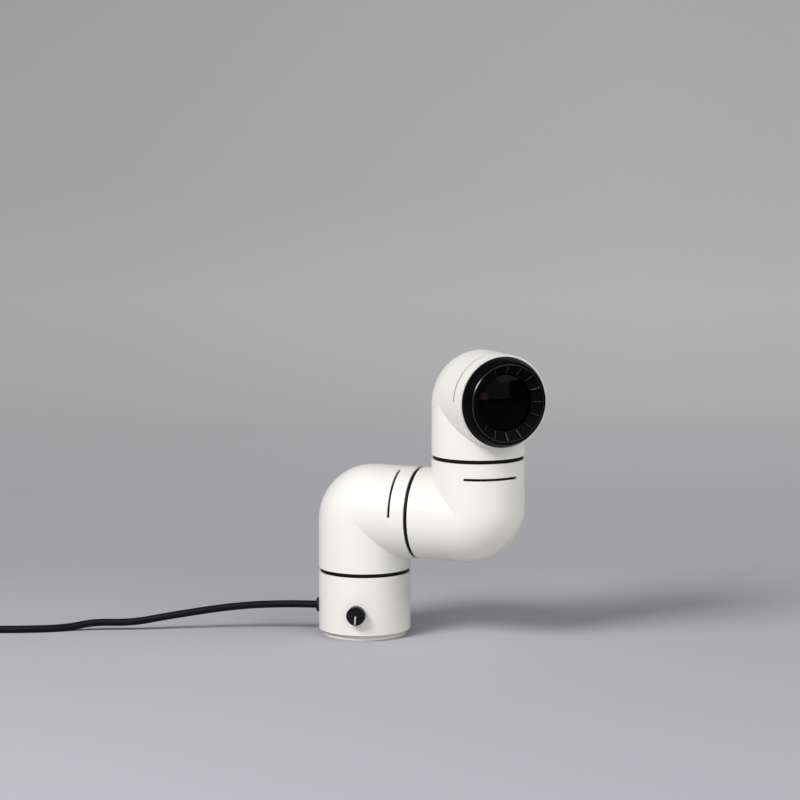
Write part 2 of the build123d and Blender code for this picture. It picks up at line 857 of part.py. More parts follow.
shoulder_start = (spigot_radius, bezel_side_height)
shoulder_end = (bezel_shoulder_radius, bezel_shoulder_height)
shoulder_middle = (
    bezel_shoulder_radius + bezel_shoulder_width * 0.5**0.5,
    bezel_side_height + (bezel_shoulder_height - bezel_side_height) * 0.5**0.5,
)
groove_bottom = (bezel_shoulder_radius - bezel_groove_width / 2, bezel_shoulder_height - bezel_groove_depth)
groove_end = (bezel_shoulder_radius - bezel_groove_width, bezel_shoulder_height)
spigot_inner_radius = spigot_radius - bezel_wall

with BuildPart() as bezel:
    with BuildSketch(section_plane(rim)):
        with BuildLine():
            Polyline(
                *funnel_outline,
                (bezel_front_radius, bezel_front_height),
                groove_end,
                groove_bottom,
                shoulder_end,
            )
            ThreePointArc(shoulder_end, shoulder_middle, shoulder_start)
            Polyline(
                shoulder_start,
                (spigot_radius, -bezel_spigot_depth),
                (spigot_inner_radius, -bezel_spigot_depth),
                (spigot_inner_radius, bezel_side_height - bezel_wall / 2),
                (funnel_mouth_radius, bezel_front_height - bezel_wall),
                (seat_outer_radius, glass_seat + bezel_wall / 2),
                (seat_outer_radius, seat_bottom),
                (seat_radius, seat_bottom),
                (seat_radius, glass_seat),
                funnel_outline[0],
            )
        make_face()
    revolve(axis=Axis(rim.origin, rim.z_dir))
    rib_inner = seat_radius - rib_start
    rib_outer = funnel_mouth_radius - rib_end
    rib_root = funnel_riser + bond_clearance
    for rib in range(rib_count):
        with BuildSketch(section_plane(rim, 360.0 * rib / rib_count)):
            with BuildLine():
                Polyline(
                    (rib_inner, funnel_height(rib_inner) + rib_rise),
                    (rib_outer, funnel_height(rib_outer) + rib_rise),
                    (rib_outer, funnel_height(rib_outer) - rib_root),
                    (rib_inner, funnel_height(rib_inner) - rib_root),
                    close=True,
                )
            make_face()
        extrude(amount=rib_width / 2, both=True)
finish(bezel, "bezel")

dome_radius = funnel_throat_radius - glass_clearance
dome_base = glass_seat + glass_collar
dome_top = dome_base + glass_dome_rise
hollow_radius = dome_radius - glass_thickness
hollow_top = dome_top - glass_thickness


def cap_middle(edge_radius, edge_height, top_height):
    """The middle point of a spherical cap's outline between its edge and its top."""
    rise = top_height - edge_height
    sphere = (edge_radius**2 + rise**2) / (2 * rise)
    return (edge_radius / 2, top_height - sphere + (sphere**2 - (edge_radius / 2) ** 2) ** 0.5)


with BuildPart() as cover_glass:
    with BuildSketch(section_plane(rim)):
        with BuildLine():
            ThreePointArc(
                (0, dome_top),
                cap_middle(dome_radius, dome_base, dome_top),
                (dome_radius, dome_base),
            )
            Polyline(
                (dome_radius, dome_base),
                (dome_radius, glass_seat),
                (glass_flange_radius, glass_seat),
                (glass_flange_radius, flange_bottom),
                (hollow_radius, flange_bottom),
            )
            ThreePointArc(
                (hollow_radius, flange_bottom),
                cap_middle(hollow_radius, flange_bottom, hollow_top),
                (0, hollow_top),
            )
            Line((0, hollow_top), (0, dome_top))
        make_face()
    revolve(axis=Axis(rim.origin, rim.z_dir))
finish(cover_glass, "cover_glass")

with BuildPart() as glass_seal:
    ring(rim.offset(seal_bottom), glass_flange_radius, shield_mouth_radius, seal_thickness)
finish(glass_seal, "glass_seal")

shield_flange_top = shield_flange_thickness - led_depth

with BuildPart() as light_shield:
    turned(
        rim,
        (shield_mouth_radius, seal_bottom),
        (glass_flange_radius, seal_bottom),
        (glass_flange_radius, seal_bottom - shield_rim_thickness),
        (shield_mouth_radius + shield_wall, seal_bottom - shield_rim_thickness),
        (shield_back_radius + shield_wall, shield_flange_top),
        (shield_flange_radius, shield_flange_top),
        (shield_flange_radius, -led_depth),
        (shield_back_radius, -led_depth),
    )
    with BuildSketch(rim.offset(-led_depth)):
        with PolarLocations(head_screw_circle, head_screw_count, start_angle=head_screw_start):
            Circle(screw_hole)
    extrude(amount=shield_flange_thickness, mode=Mode.SUBTRACT)
finish(light_shield, "light_shield")

board_back_height = -led_depth - led_board_thickness

with BuildPart() as led_board:
    with BuildSketch(rim.offset(board_back_height)):
        Circle(led_board_radius)
        with PolarLocations(head_screw_circle, head_screw_count, start_angle=head_screw_start):
            Circle(screw_hole, mode=Mode.SUBTRACT)
    extrude(amount=led_board_thickness)
finish(led_board, "led_board")

with BuildPart() as led_chip:
    disc(rim.offset(-led_depth), led_chip_radius, led_chip_thickness)
finish(led_chip, "led_chip")

fin_gap = fin_pitch - fin_thickness
fin_depth = sink_depth - sink_plate

with BuildPart() as heat_sink:
    disc(rim.offset(board_back_height - sink_depth), sink_radius, sink_depth)
    with BuildSketch(rim.offset(board_back_height - sink_depth)):
        with GridLocations(fin_pitch, 0, fin_count - 1, 1):
            Rectangle(fin_gap, 2 * sink_radius)
    extrude(amount=fin_depth, mode=Mode.SUBTRACT)
    with BuildSketch(rim.offset(board_back_height - sink_depth)):
        with Locations((0, -sink_slot_start - sink_radius / 2)):
            Rectangle(sink_slot_width, sink_radius)
        with PolarLocations(head_screw_circle, head_screw_count, start_angle=head_screw_start):
            Circle(screw_hole)
    extrude(amount=sink_depth, mode=Mode.SUBTRACT)
finish(heat_sink, "heat_sink")

with BuildPart() as head_screws:
    with PolarLocations(head_screw_circle, head_screw_count, start_angle=head_screw_start) as screw_places:
        for screw_place in screw_places:
            screw(Plane(rim.offset(shield_flange_top).location * screw_place), head_screw_length)
finish(head_screws, "head_screws")


# ---------------------------------------------------------------- power cord, coil and plug
cord_radii = corner_radii(cord_points)
print("cord corner radii, mm:", [round(radius) for radius in cord_radii])
power_cord = flex(cord_points, cord_radii, cord_radius)
finish(power_cord, "power_cord")

coil_frame = Plane(origin=(*coil_centre, 0))
coil_width = coil_columns * turn_pitch
coil_middle_radius = coil_outer_turn + turn_pitch / 2 - coil_width / 2
coil_top = coil_layers * turn_pitch + tie_thickness
tie_plane = section_plane(coil_frame, tie_azimuth)

with BuildPart() as cord_tie:
    with BuildSketch(tie_plane):
        with Locations((coil_middle_radius, (coil_top + tie_thickness) / 2)):
            Rectangle(coil_width + 2 * tie_thickness, coil_top + tie_thickness)
            Rectangle(coil_width, coil_top - tie_thickness, mode=Mode.SUBTRACT)
    extrude(amount=tie_width / 2, both=True)
finish(cord_tie, "cord_tie")

with BuildPart() as cord_coil:
    ring(coil_frame, coil_middle_radius + coil_width / 2, coil_middle_radius - coil_width / 2, coil_top)
    fillet(cord_coil.edges().group_by(Axis.Z)[-1], radius=coil_round)
    add(cord_tie.part, mode=Mode.SUBTRACT)
finish(cord_coil, "cord_coil")

plug_outward = Vector(1, 0, 0).rotate(Axis.Z, plug_azimuth)
plug_heading = up.cross(plug_outward)
plug_middle = coil_frame.origin + plug_outward * coil_middle_radius + plug_heading * plug_advance
plug_frame = Plane(origin=plug_middle + up * coil_top, x_dir=plug_heading, z_dir=up)
plug_axis = Plane(
    origin=plug_frame.from_local_coords((0, 0, plug_thickness / 2)),
    x_dir=plug_frame.y_dir,
    z_dir=plug_frame.x_dir,
)
pin_start = plug_length / 2 - pin_embedded
relief_start = -plug_length / 2 - plug_relief_length

with BuildPart() as plug_body:
    with BuildSketch(plug_frame):
        Polygon(
            (plug_length / 2, -plug_width / 2),
            (plug_length / 2, plug_width / 2),
            (plug_length / 2 - plug_nose_length, plug_width / 2),
            (-plug_length / 2, plug_rear_width / 2),
            (-plug_length / 2, -plug_rear_width / 2),
            (plug_length / 2 - plug_nose_length, -plug_width / 2),
            align=None,
        )
    extrude(amount=plug_thickness)
    fillet(plug_body.edges(), radius=plug_round)
    turned(
        plug_axis,
        (0, relief_start),
        (plug_relief_end, relief_start),
        (plug_relief_radius, -plug_length / 2),
        (plug_relief_radius, -plug_length / 4),
        (0, -plug_length / 4),
    )
    disc(plug_axis.offset(relief_start), cord_bore, plug_relief_length, mode=Mode.SUBTRACT)
    with BuildSketch(plug_axis.offset(pin_start)):
        with GridLocations(pin_spacing, 0, 2, 1):
            Circle(pin_radius + bond_clearance)
    extrude(amount=pin_embedded, mode=Mode.SUBTRACT)
finish(plug_body, "plug_body")

with BuildPart() as plug_pins:
    with BuildSketch(plug_axis.offset(pin_start)):
        with GridLocations(pin_spacing, 0, 2, 1):
            Circle(pin_radius)
    extrude(amount=pin_embedded + pin_length)
    pin_rims = plug_pins.edges().filter_by(GeomType.CIRCLE)
    pin_tips = pin_rims.sort_by(Axis(plug_axis.origin, plug_axis.z_dir))[-2:]
    fillet(pin_tips, radius=pin_round)
finish(plug_pins, "plug_pins")
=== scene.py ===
import bpy
import bmesh
from math import acos, asin, cos, pi, radians, sin, tan
from mathutils import Matrix, Vector


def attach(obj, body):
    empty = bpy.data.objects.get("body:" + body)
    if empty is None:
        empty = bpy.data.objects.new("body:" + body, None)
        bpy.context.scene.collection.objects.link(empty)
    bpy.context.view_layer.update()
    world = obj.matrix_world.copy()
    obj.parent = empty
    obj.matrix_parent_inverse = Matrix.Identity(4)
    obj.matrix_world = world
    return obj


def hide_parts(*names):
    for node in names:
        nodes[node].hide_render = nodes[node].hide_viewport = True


# Tabletop searchlight lamp, dressed on its CAD frame. The dictionaries hold millimetres and degrees.
# z is up, the lamp stands at z = 0 on its base's axis, the knob faces -y and the cord leaves to -x.

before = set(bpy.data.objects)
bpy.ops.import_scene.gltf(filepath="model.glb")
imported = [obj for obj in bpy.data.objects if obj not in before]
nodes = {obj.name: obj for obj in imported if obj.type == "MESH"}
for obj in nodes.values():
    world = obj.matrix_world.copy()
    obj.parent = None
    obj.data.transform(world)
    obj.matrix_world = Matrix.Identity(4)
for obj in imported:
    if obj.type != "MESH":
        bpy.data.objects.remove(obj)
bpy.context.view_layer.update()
mm = 0.001
near = 0.01  # millimetres within which a place counts as found
touching = 0.002  # millimetres within which two vertices become one
cutLine = 0.00001  # metres within which a cut takes a vertex as it stands


def point(*values):
    return Vector(values) * mm


# The camera stands in front, higher than the head, and looks slightly down.
camera = dict(lens=127.70, sensor=36.0, place=(420.3, -2402.6, 518.0), tilt=82.692, heading=9.2,
              clipEnd=60000.0)


def makeCamera():
    lens = bpy.data.cameras.new("camera")
    lens.lens = camera["lens"]
    lens.sensor_width = camera["sensor"]
    lens.clip_end = camera["clipEnd"] * mm
    holder = bpy.data.objects.new("camera", lens)
    bpy.context.scene.collection.objects.link(holder)
    holder.location = point(*camera["place"])
    holder.rotation_euler = (radians(camera["tilt"]), 0, radians(camera["heading"]))
    bpy.context.scene.camera = holder
    print("camera is set")


# materials

def newMaterial(name):
    made = bpy.data.materials.new(name)
    made.use_nodes = True
    tree = made.node_tree
    shader = tree.nodes["Principled BSDF"]
    return made, tree, shader


def addNode(tree, kind, **settings):
    node = tree.nodes.new(kind)
    for name, value in settings.items():
        if name in node.inputs:
            node.inputs[name].default_value = value
        else:
            setattr(node, name, value)
    return node


def noiseOf(tree, scale, detail=3.0, stretch=None):
    # a noise in the object's own metres, so that its size is real
    place = addNode(tree, "ShaderNodeTexCoord").outputs["Object"]
    if stretch:
        mapping = addNode(tree, "ShaderNodeMapping")
        mapping.inputs["Scale"].default_value = stretch
        tree.links.new(place, mapping.inputs["Vector"])
        place = mapping.outputs["Vector"]
    noise = addNode(tree, "ShaderNodeTexNoise", Scale=scale, Detail=detail)
    tree.links.new(place, noise.inputs["Vector"])
    return noise.outputs["Fac"]


def rampOf(tree, source, low, high, start=0.35, end=0.65):
    ramp = addNode(tree, "ShaderNodeValToRGB")
    ramp.color_ramp.elements[0].position = start
    ramp.color_ramp.elements[1].position = end
    ramp.color_ramp.elements[0].color = (*low, 1)
    ramp.color_ramp.elements[1].color = (*high, 1)
    tree.links.new(source, ramp.inputs["Fac"])
    return ramp.outputs["Color"]


def rangeOf(tree, source, low, high, start=0.3, end=0.7):
    span = addNode(tree, "ShaderNodeMapRange")
    span.inputs["From Min"].default_value = start
    span.inputs["From Max"].default_value = end
    span.inputs["To Min"].default_value = low
    span.inputs["To Max"].default_value = high
    tree.links.new(source, span.inputs["Value"])
    return span.outputs["Result"]


def bumpOf(tree, shader, source, strength, distance):
    bump = addNode(tree, "ShaderNodeBump", Strength=strength, Distance=distance)
    tree.links.new(source, bump.inputs["Height"])
    tree.links.new(bump.outputs["Normal"], shader.inputs["Normal"])


def finishOf(name, low, high, roughness, patch=90.0, grain=2500.0, depth=0.00001, metallic=0.0,
             specular=0.5, stretch=None, strength=0.3):
    # a finish with slow patches of tone and gloss, and a fine grain that catches the light
    made, tree, shader = newMaterial(name)
    shader.inputs["Metallic"].default_value = metallic
    shader.inputs["Specular IOR Level"].default_value = specular
    patches = noiseOf(tree, patch, 4.0)
    tree.links.new(rampOf(tree, patches, low, high), shader.inputs["Base Color"])
    tree.links.new(rangeOf(tree, patches, *roughness), shader.inputs["Roughness"])
    bumpOf(tree, shader, noiseOf(tree, grain, 2.0, stretch), strength, depth)
    return made


finishes = {
    "shell_white": finishOf("shellWhite", (0.826, 0.816, 0.781), (0.828, 0.818, 0.783), (0.276, 0.284),
                            patch=8, grain=900, strength=0.08),
    "foot_white": finishOf("footWhite", (0.822, 0.812, 0.777), (0.828, 0.818, 0.783), (0.38, 0.42), patch=20,
                           grain=1600, strength=0.2),
    "black_satin": finishOf("blackSatin", (0.002, 0.002, 0.002), (0.004, 0.004, 0.004), (0.5, 0.65),
                            specular=0.12),
    "black_lacquer": finishOf("blackLacquer", (0.0022, 0.0022, 0.0026), (0.0034, 0.0034, 0.0038), (0.3, 0.38),
                              patch=120, grain=1800, strength=0.1, specular=0.02),
    "polished_ribs": finishOf("polishedRibs", (0.003, 0.003, 0.0035), (0.005, 0.005, 0.0055), (0.2, 0.24),
                              patch=200, grain=1800, strength=0.1),
    "knob_black": finishOf("knobBlack", (0.005, 0.005, 0.0055), (0.008, 0.008, 0.0085), (0.34, 0.44),
                           grain=3200, strength=0.2, specular=0.15),
    "pointer_white": finishOf("pointerWhite", (0.56, 0.56, 0.55), (0.60, 0.60, 0.59), (0.4, 0.5)),
    "cord_black": finishOf("cordBlack", (0.003, 0.003, 0.0033), (0.005, 0.005, 0.0055), (0.42, 0.55),
                           patch=160, grain=2600, strength=0.3, specular=0.12),
    "tie_black": finishOf("tieBlack", (0.010, 0.010, 0.011), (0.026, 0.026, 0.028), (0.8, 0.9), patch=1400,
                          grain=4200, depth=0.0002, strength=0.6),
    "led_board_white": finishOf("boardWhite", (0.70, 0.70, 0.69), (0.76, 0.76, 0.75), (0.4, 0.5)),
    "bare_aluminium": finishOf("bareAluminium", (0.55, 0.56, 0.57), (0.68, 0.69, 0.70), (0.3, 0.45),
                               metallic=1.0, grain=900, stretch=(1, 1, 12)),
    "steel": finishOf("zincSteel", (0.50, 0.50, 0.51), (0.62, 0.62, 0.63), (0.28, 0.42), metallic=1.0),
    "nickel": finishOf("nickelPins", (0.60, 0.58, 0.54), (0.70, 0.68, 0.64), (0.18, 0.28), metallic=1.0,
                       grain=1500),
    "ballast_iron": finishOf("castIron", (0.05, 0.05, 0.052), (0.10, 0.10, 0.103), (0.55, 0.7), metallic=0.6,
                             grain=700, depth=0.0003, strength=0.5),
    "copper_winding": finishOf("wrappedWinding", (0.42, 0.30, 0.05), (0.55, 0.42, 0.09), (0.3, 0.4),
                               grain=1200),
    "pad_rubber": finishOf("padRubber", (0.02, 0.02, 0.02), (0.035, 0.035, 0.035), (0.7, 0.85), grain=2200,
                           depth=0.0001, strength=0.5),
    "bush_nylon": finishOf("bushNylon", (0.62, 0.61, 0.57), (0.70, 0.69, 0.65), (0.4, 0.5)),
    "board_green": finishOf("boardGreen", (0.01, 0.10, 0.04), (0.015, 0.14, 0.055), (0.3, 0.4)),
    "components_black": finishOf("componentsBlack", (0.015, 0.015, 0.016), (0.03, 0.03, 0.032), (0.35, 0.5)),
    "terminal_white": finishOf("terminalWhite", (0.66, 0.66, 0.63), (0.72, 0.72, 0.69), (0.4, 0.5)),
    "lead_grey": finishOf("leadGrey", (0.20, 0.20, 0.21), (0.26, 0.26, 0.27), (0.45, 0.6)),
}


def makeGlass():
    # smoked glass: tinted right through, with the faintest unevenness in its polish
    made, tree, shader = newMaterial("darkGlass")
    shader.inputs["Base Color"].default_value = (0.030, 0.026, 0.030, 1)
    shader.inputs["Transmission Weight"].default_value = 1.0
    shader.inputs["IOR"].default_value = 1.12
    tree.links.new(rangeOf(tree, noiseOf(tree, 60, 3.0), 0.02, 0.06), shader.inputs["Roughness"])
    bumpOf(tree, shader, noiseOf(tree, 45, 1.0), 0.05, 0.0002)
    return made


def makeAmber():
    # the lamp's chip: an orange phosphor with a faint red painted glow, an emission that brightens the unlit
    # chip
    made, tree, shader = newMaterial("ledAmber")
    grain = noiseOf(tree, 1500, 2.0)
    tree.links.new(rampOf(tree, grain, (0.95, 0.30, 0.03), (1.0, 0.42, 0.06)), shader.inputs["Base Color"])
    tree.links.new(rangeOf(tree, grain, 0.3, 0.45), shader.inputs["Roughness"])
    # painted glow: the chip is not lit, and this emission only brightens its colour
    tree.links.new(rampOf(tree, grain, (1.0, 0.22, 0.14), (1.0, 0.30, 0.20)), shader.inputs["Emission Color"])
    shader.inputs["Emission Strength"].default_value = 0.5
    bumpOf(tree, shader, grain, 0.3, 0.0001)
    return made


finishes["dark_glass"] = makeGlass()
finishes["led_amber"] = makeAmber()


def dressNodes():
    slotOf = {}
    for name, node in nodes.items():
        slotOf[name] = node.data.materials[0].name.split(".")[0]
        node.data.materials.clear()
        node.data.materials.append(finishes[slotOf[name]])
    return slotOf


slotOf = dressNodes()
print("materials are on the frame's nodes")


# modelling helpers, for the piece that is being made

def leaveEdit():
    if bpy.context.mode != "OBJECT":
        bpy.ops.object.mode_set(mode="OBJECT")


def enterEdit():
    bpy.ops.object.mode_set(mode="EDIT")


def selectAll():
    bpy.ops.mesh.select_all(action="SELECT")


def takeShapes(pieces):
    # these pieces are selected, with the first as the active one
    leaveEdit()
    bpy.ops.object.select_all(action="DESELECT")
    for piece in pieces:
        piece.select_set(True)
    bpy.context.view_layer.objects.active = pieces[0]


def openShape():
    # the new object's place and size go into its mesh, which opens with all of it selected
    bpy.ops.object.transform_apply(location=True, rotation=True, scale=True)
    enterEdit()
    bpy.ops.mesh.select_mode(type="VERT")
    selectAll()
    return bpy.context.object


def startCircle(radius, height, sides, filled=False):
    leaveEdit()
    bpy.ops.mesh.primitive_circle_add(vertices=sides, radius=radius * mm, location=(0, 0, height * mm),
                                      fill_type="NGON" if filled else "NOTHING")
    return openShape()


def startBox(size, centre):
    leaveEdit()
    bpy.ops.mesh.primitive_cube_add(size=1, location=point(*centre))
    bpy.context.object.scale = point(*size)
    return openShape()


def extrudeTo(step):
    bpy.ops.mesh.extrude_region_move(TRANSFORM_OT_translate={"value": point(*step)})


def ringTo(radius, height, last):
    # the next ring of a turned shape: the selected ring is extruded along z and scaled about the axis
    extrudeTo((0, 0, height - last[1]))
    share = radius / last[0]
    bpy.ops.transform.resize(value=(share, share, 1), center_override=(0, 0, height * mm))
    return radius, height


def turnShape(outline, sides, closed=True):
    # a turned shape from an outline of (radius, height) points, as one ring after another
    last = outline[0]
    piece = startCircle(*last, sides)
    for radius, height in outline[1:]:
        last = ringTo(radius, height, last)
    if closed:
        ringTo(*outline[0], last)
    return piece


def outlineOf(measures, *corners):
    # outline points, each from the names of its radius and height in a piece's measures
    return [tuple(measures[name] for name in corner.split()) for corner in corners]


def pickEdges(piece, rule):
    bpy.ops.mesh.select_all(action="DESELECT")
    bpy.ops.mesh.select_mode(type="EDGE")
    shape = bmesh.from_edit_mesh(piece.data)
    for edge in shape.edges:
        edge.select = rule(edge.verts[0].co / mm, edge.verts[1].co / mm)
    shape.select_flush_mode()
    bmesh.update_edit_mesh(piece.data)


def pickFaces(piece, rule):
    bpy.ops.mesh.select_all(action="DESELECT")
    bpy.ops.mesh.select_mode(type="FACE")
    shape = bmesh.from_edit_mesh(piece.data)
    for face in shape.faces:
        face.select = rule(face.calc_center_median() / mm, face.normal)
    shape.select_flush_mode()
    bmesh.update_edit_mesh(piece.data)


def roundEdges(size, segments):
    bpy.ops.mesh.bevel(offset=size * mm, segments=segments, affect="EDGES")


def cleanShape():
    selectAll()
    bpy.ops.mesh.remove_doubles(threshold=touching * mm)
    bpy.ops.mesh.normals_make_consistent(inside=False)


def applyModifier(piece, kind, **settings):
    leaveEdit()
    bpy.context.view_layer.objects.active = piece
    modifier = piece.modifiers.new(kind.lower(), kind)
    for name, value in settings.items():
        setattr(modifier, name, value)
    bpy.ops.object.modifier_apply(modifier=modifier.name)


def cutWith(piece, cutter):
    applyModifier(piece, "BOOLEAN", operation="DIFFERENCE", object=cutter, solver="EXACT")
    bpy.data.objects.remove(cutter)


def smoothShape(piece, angle=30.0):
    takeShapes([piece])
    bpy.ops.object.shade_smooth_by_angle(angle=radians(angle))


def evenNormals(piece):
    # flat faces look flat beside rounded edges
    applyModifier(piece, "WEIGHTED_NORMAL", keep_sharp=True)


def copyShape(piece):
    leaveEdit()
    twin = piece.copy()
    twin.data = piece.data.copy()
    bpy.context.scene.collection.objects.link(twin)
    return twin


def moveShape(piece, place):
    # the place goes into the mesh, and the object stays at the origin
    takeShapes([piece])
    piece.matrix_world = place
    bpy.ops.object.transform_apply(location=True, rotation=True, scale=True)
    return piece


def joinShapes(pieces):
    takeShapes(pieces)
    bpy.ops.object.join()
    return pieces[0]


def frameAt(origin, forward, side):
    # a frame's matrix: z points forward, x points to the side, and the origin is in millimetres
    forward, side = Vector(forward).normalized(), Vector(side).normalized()
    across = forward.cross(side)
    place = Matrix((side, across, forward)).transposed().to_4x4()
    place.translation = Vector(origin) * mm
    return place


def settle(piece, name, body, slot, replaced=(), finish=None):
    leaveEdit()
    piece.name = name
    piece.data.name = name
    piece.data.materials.clear()
    piece.data.materials.append(finishes[finish or slot])
    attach(piece, body)
    if replaced:
        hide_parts(*replaced)
    return piece


# where the tubes meet

joints = dict(baseTop=56.25, halfGap=1.15, reach=52.2, lowerAzimuth=-11.6, headAzimuth=-57.6)
up = Vector((0, 0, 1))
lowerWay = Matrix.Rotation(radians(joints["lowerAzimuth"]), 3, "Z") @ Vector((1, 0, 0))
headWay = Matrix.Rotation(radians(joints["headAzimuth"]), 3, "Z") @ Vector((1, 0, 0))
lowerCorner = up * (joints["baseTop"] + joints["halfGap"] + joints["reach"])
middleCorner = lowerCorner + lowerWay * 2 * joints["reach"]
headCorner = middleCorner + up * 2 * joints["reach"]
baseSeam = frameAt(up * (joints["baseTop"] + joints["halfGap"]), up, lowerWay)
lowerSeam = frameAt(lowerCorner + lowerWay * joints["reach"], lowerWay, up)
middleSeam = frameAt(middleCorner + up * joints["reach"], up, headWay)
rimPlane = frameAt(headCorner + headWay * (joints["reach"] - joints["halfGap"]), headWay, up.cross(headWay))


# tube elbows

tube = dict(radius=40.0, wall=1.6, bendRadius=8.8, sides=144, bendSteps=10, creaseRound=1.4, rimRound=0.2,
            endTrim=0.55, slotWidth=2.3, slotFromSeam=15.0, slotStart=15.0, slotEnd=90.0, slotTrim=1.2,
            slotSteps=28, slotMargin=0.5, barStart=0.2)


def slotCutter(side):
    # a thin bar swept round the outlet's axis
    outer = tube["radius"] + tube["wall"]
    depth = 3 * tube["wall"]
    along = joints["reach"] - tube["slotFromSeam"]
    middle = (along, 0, joints["reach"] + outer - depth / 2)
    piece = startBox((tube["slotWidth"], tube["barStart"], depth), middle)
    start = radians(tube["slotStart"] + tube["slotTrim"])
    sweep = radians(tube["slotEnd"] - tube["slotStart"] - 2 * tube["slotTrim"])
    centre = point(0, 0, joints["reach"])
    turn = Matrix.Translation(centre) @ Matrix.Rotation(-side * start, 4, "X") @ Matrix.Translation(-centre)
    moveShape(piece, turn)
    enterEdit()
    facing = turn.to_3x3() @ Vector((0, side, 0))
    pickFaces(piece, lambda middle, normal: normal.dot(facing) > 0.99)
    bpy.ops.mesh.spin(steps=tube["slotSteps"], angle=side * sweep, center=centre, axis=(1, 0, 0))
    cleanShape()
    return piece


def modelElbow():
    half, reach, bend = joints["halfGap"] + tube["endTrim"], joints["reach"], tube["bendRadius"]
    bendHeight = reach - bend
    corner = point(bend, 0, bendHeight)
    mitre = Vector((1, 0, 1)).normalized()
    piece = startCircle(tube["radius"], half, tube["sides"])
    extrudeTo((0, 0, bendHeight - half))
    selectAll()
    bpy.ops.mesh.bisect(plane_co=corner, plane_no=(1, 0, 0), threshold=cutLine)
    pickEdges(piece, lambda a, b: min(a.z, b.z) > bendHeight - near and max(a.x, b.x) < bend + near)
    bpy.ops.mesh.spin(steps=tube["bendSteps"], angle=radians(-45), center=corner, axis=(0, 1, 0))
    selectAll()
    bpy.ops.mesh.bisect(plane_co=corner, plane_no=mitre, clear_outer=True, threshold=cutLine)
    cleanShape()
    leaveEdit()
    mirrorAt = bpy.data.objects.new("mitre", None)
    bpy.context.scene.collection.objects.link(mirrorAt)
    mirrorAt.matrix_world = frameAt((bend, 0, bendHeight), (-1, 0, 1), mitre)
    bpy.context.view_layer.update()
    applyModifier(piece, "MIRROR", mirror_object=mirrorAt, merge_threshold=2 * cutLine)
    bpy.data.objects.remove(mirrorAt)
    easeCrease(piece)
    finishWall(piece)
    for side in (-1, 1):
        cutWith(piece, slotCutter(side))
    smoothShape(piece)
    evenNormals(piece)
    return piece


def easeCrease(piece):
    # the inner crease is eased, most where the legs meet squarely and not at all at its two ends
    reach, bend, radius = joints["reach"], tube["bendRadius"], tube["radius"]
    endTangent = tan(0.5 * acos(1 - (bend / radius) ** 2))
    enterEdit()
    shape = bmesh.from_edit_mesh(piece.data)
    weights = shape.edges.layers.float.new("bevel_weight_edge")
    for edge in shape.edges:
        ends = [vert.co / mm for vert in edge.verts]
        if all(abs(end.x + end.z - reach) < near / 2 and end.x > bend - near / 2 for end in ends):
            middle = (ends[0] + ends[1]) / 2
            tangent = tan(0.5 * acos(min(1.0, (middle.y / radius) ** 2)))
            edge[weights] = max(0.0, (tangent - endTangent) / (1 - endTangent))
    bmesh.update_edit_mesh(piece.data)
    applyModifier(piece, "BEVEL", width=tube["creaseRound"] * mm, segments=8, limit_method="WEIGHT",
                  use_clamp_overlap=False)


def finishWall(piece):
    half, reach, radius = joints["halfGap"] + tube["endTrim"], joints["reach"], tube["radius"]
    enterEdit()
    cleanShape()
    # the outlet leg gets a ring of its own beside each edge of the slots
    beside = tube["slotWidth"] / 2 + tube["slotMargin"]
    for offset in (-beside, beside):
        pickFaces(piece, lambda middle, normal: abs(normal.x) < 0.001 and middle.x > tube["bendRadius"] + 0.1)
        bpy.ops.mesh.bisect(plane_co=point(reach - tube["slotFromSeam"] + offset, 0, 0), plane_no=(1, 0, 0),
                            threshold=cutLine)
    applyModifier(piece, "SOLIDIFY", thickness=tube["wall"] * mm, offset=-1, use_even_offset=True)
    enterEdit()
    end = reach - half

    def onRim(a, b):
        inlet = all(abs(v.z - half) < near and abs(v.xy.length - radius) < 0.05 for v in (a, b))
        outlet = all(abs(v.x - end) < near and abs(Vector((v.y, v.z - reach)).length - radius) < 0.05
                     for v in (a, b))
        return inlet or outlet

    pickEdges(piece, onRim)
    roundEdges(tube["rimRound"], 3)


def makeElbows():
    model = modelElbow()
    rows = [("lowerTube", "lower_arm", "lower_elbow", baseSeam),
            ("middleTube", "middle_arm", "middle_elbow", lowerSeam),
            ("headTube", "head", "head_elbow", middleSeam)]
    for name, body, node, seam in rows:
        settle(moveShape(copyShape(model), seam), name, body, "shell_white", [node])
    bpy.data.objects.remove(model)
    print("three tube elbows are modelled")


makeElbows()


# base: tube, foot, knob and gland

base = dict(bottom=5.1, lugInner=30.5, lugOuter=39.2, lugWidth=8.0, lugBase=13.1, lugHeight=8.0, lugEdge=0.8,
            controlHeight=23.8, bushingHole=4.55, glandHole=5.05, holeReach=6.0, holeSides=64)
knobFace = frameAt((0, -tube["radius"], base["controlHeight"]), (0, -1, 0), (1, 0, 0))
glandFace = frameAt((-tube["radius"], 0, base["controlHeight"]), (-1, 0, 0), (0, -1, 0))


def plainDisc(radius, bottom, top, sides):
    piece = startCircle(radius, bottom, sides, filled=True)
    extrudeTo((0, 0, top - bottom))
    cleanShape()
    return piece


def ringEdge(radius, height):
    # a rule that picks the edges of one ring of a turned shape
    return lambda a, b: all(abs(v.z - height) < near and abs(v.xy.length - radius) < 2 * near for v in (a, b))


def bevelRing(piece, radius, height, size, segments):
    pickEdges(piece, ringEdge(radius, height))
    roundEdges(size, segments)


def closeEnds(piece, firstRadius, firstHeight):
    # an open turned shape gets a face at its last ring, which is selected, and one at its first
    bpy.ops.mesh.edge_face_add()
    pickEdges(piece, ringEdge(firstRadius, firstHeight))
    bpy.ops.mesh.edge_face_add()
    cleanShape()


def quarterTurn(quarter):
    # the base's lugs and screws stand in the corners of a square
    return Matrix.Rotation(radians(45 + 90 * quarter), 4, "Z")


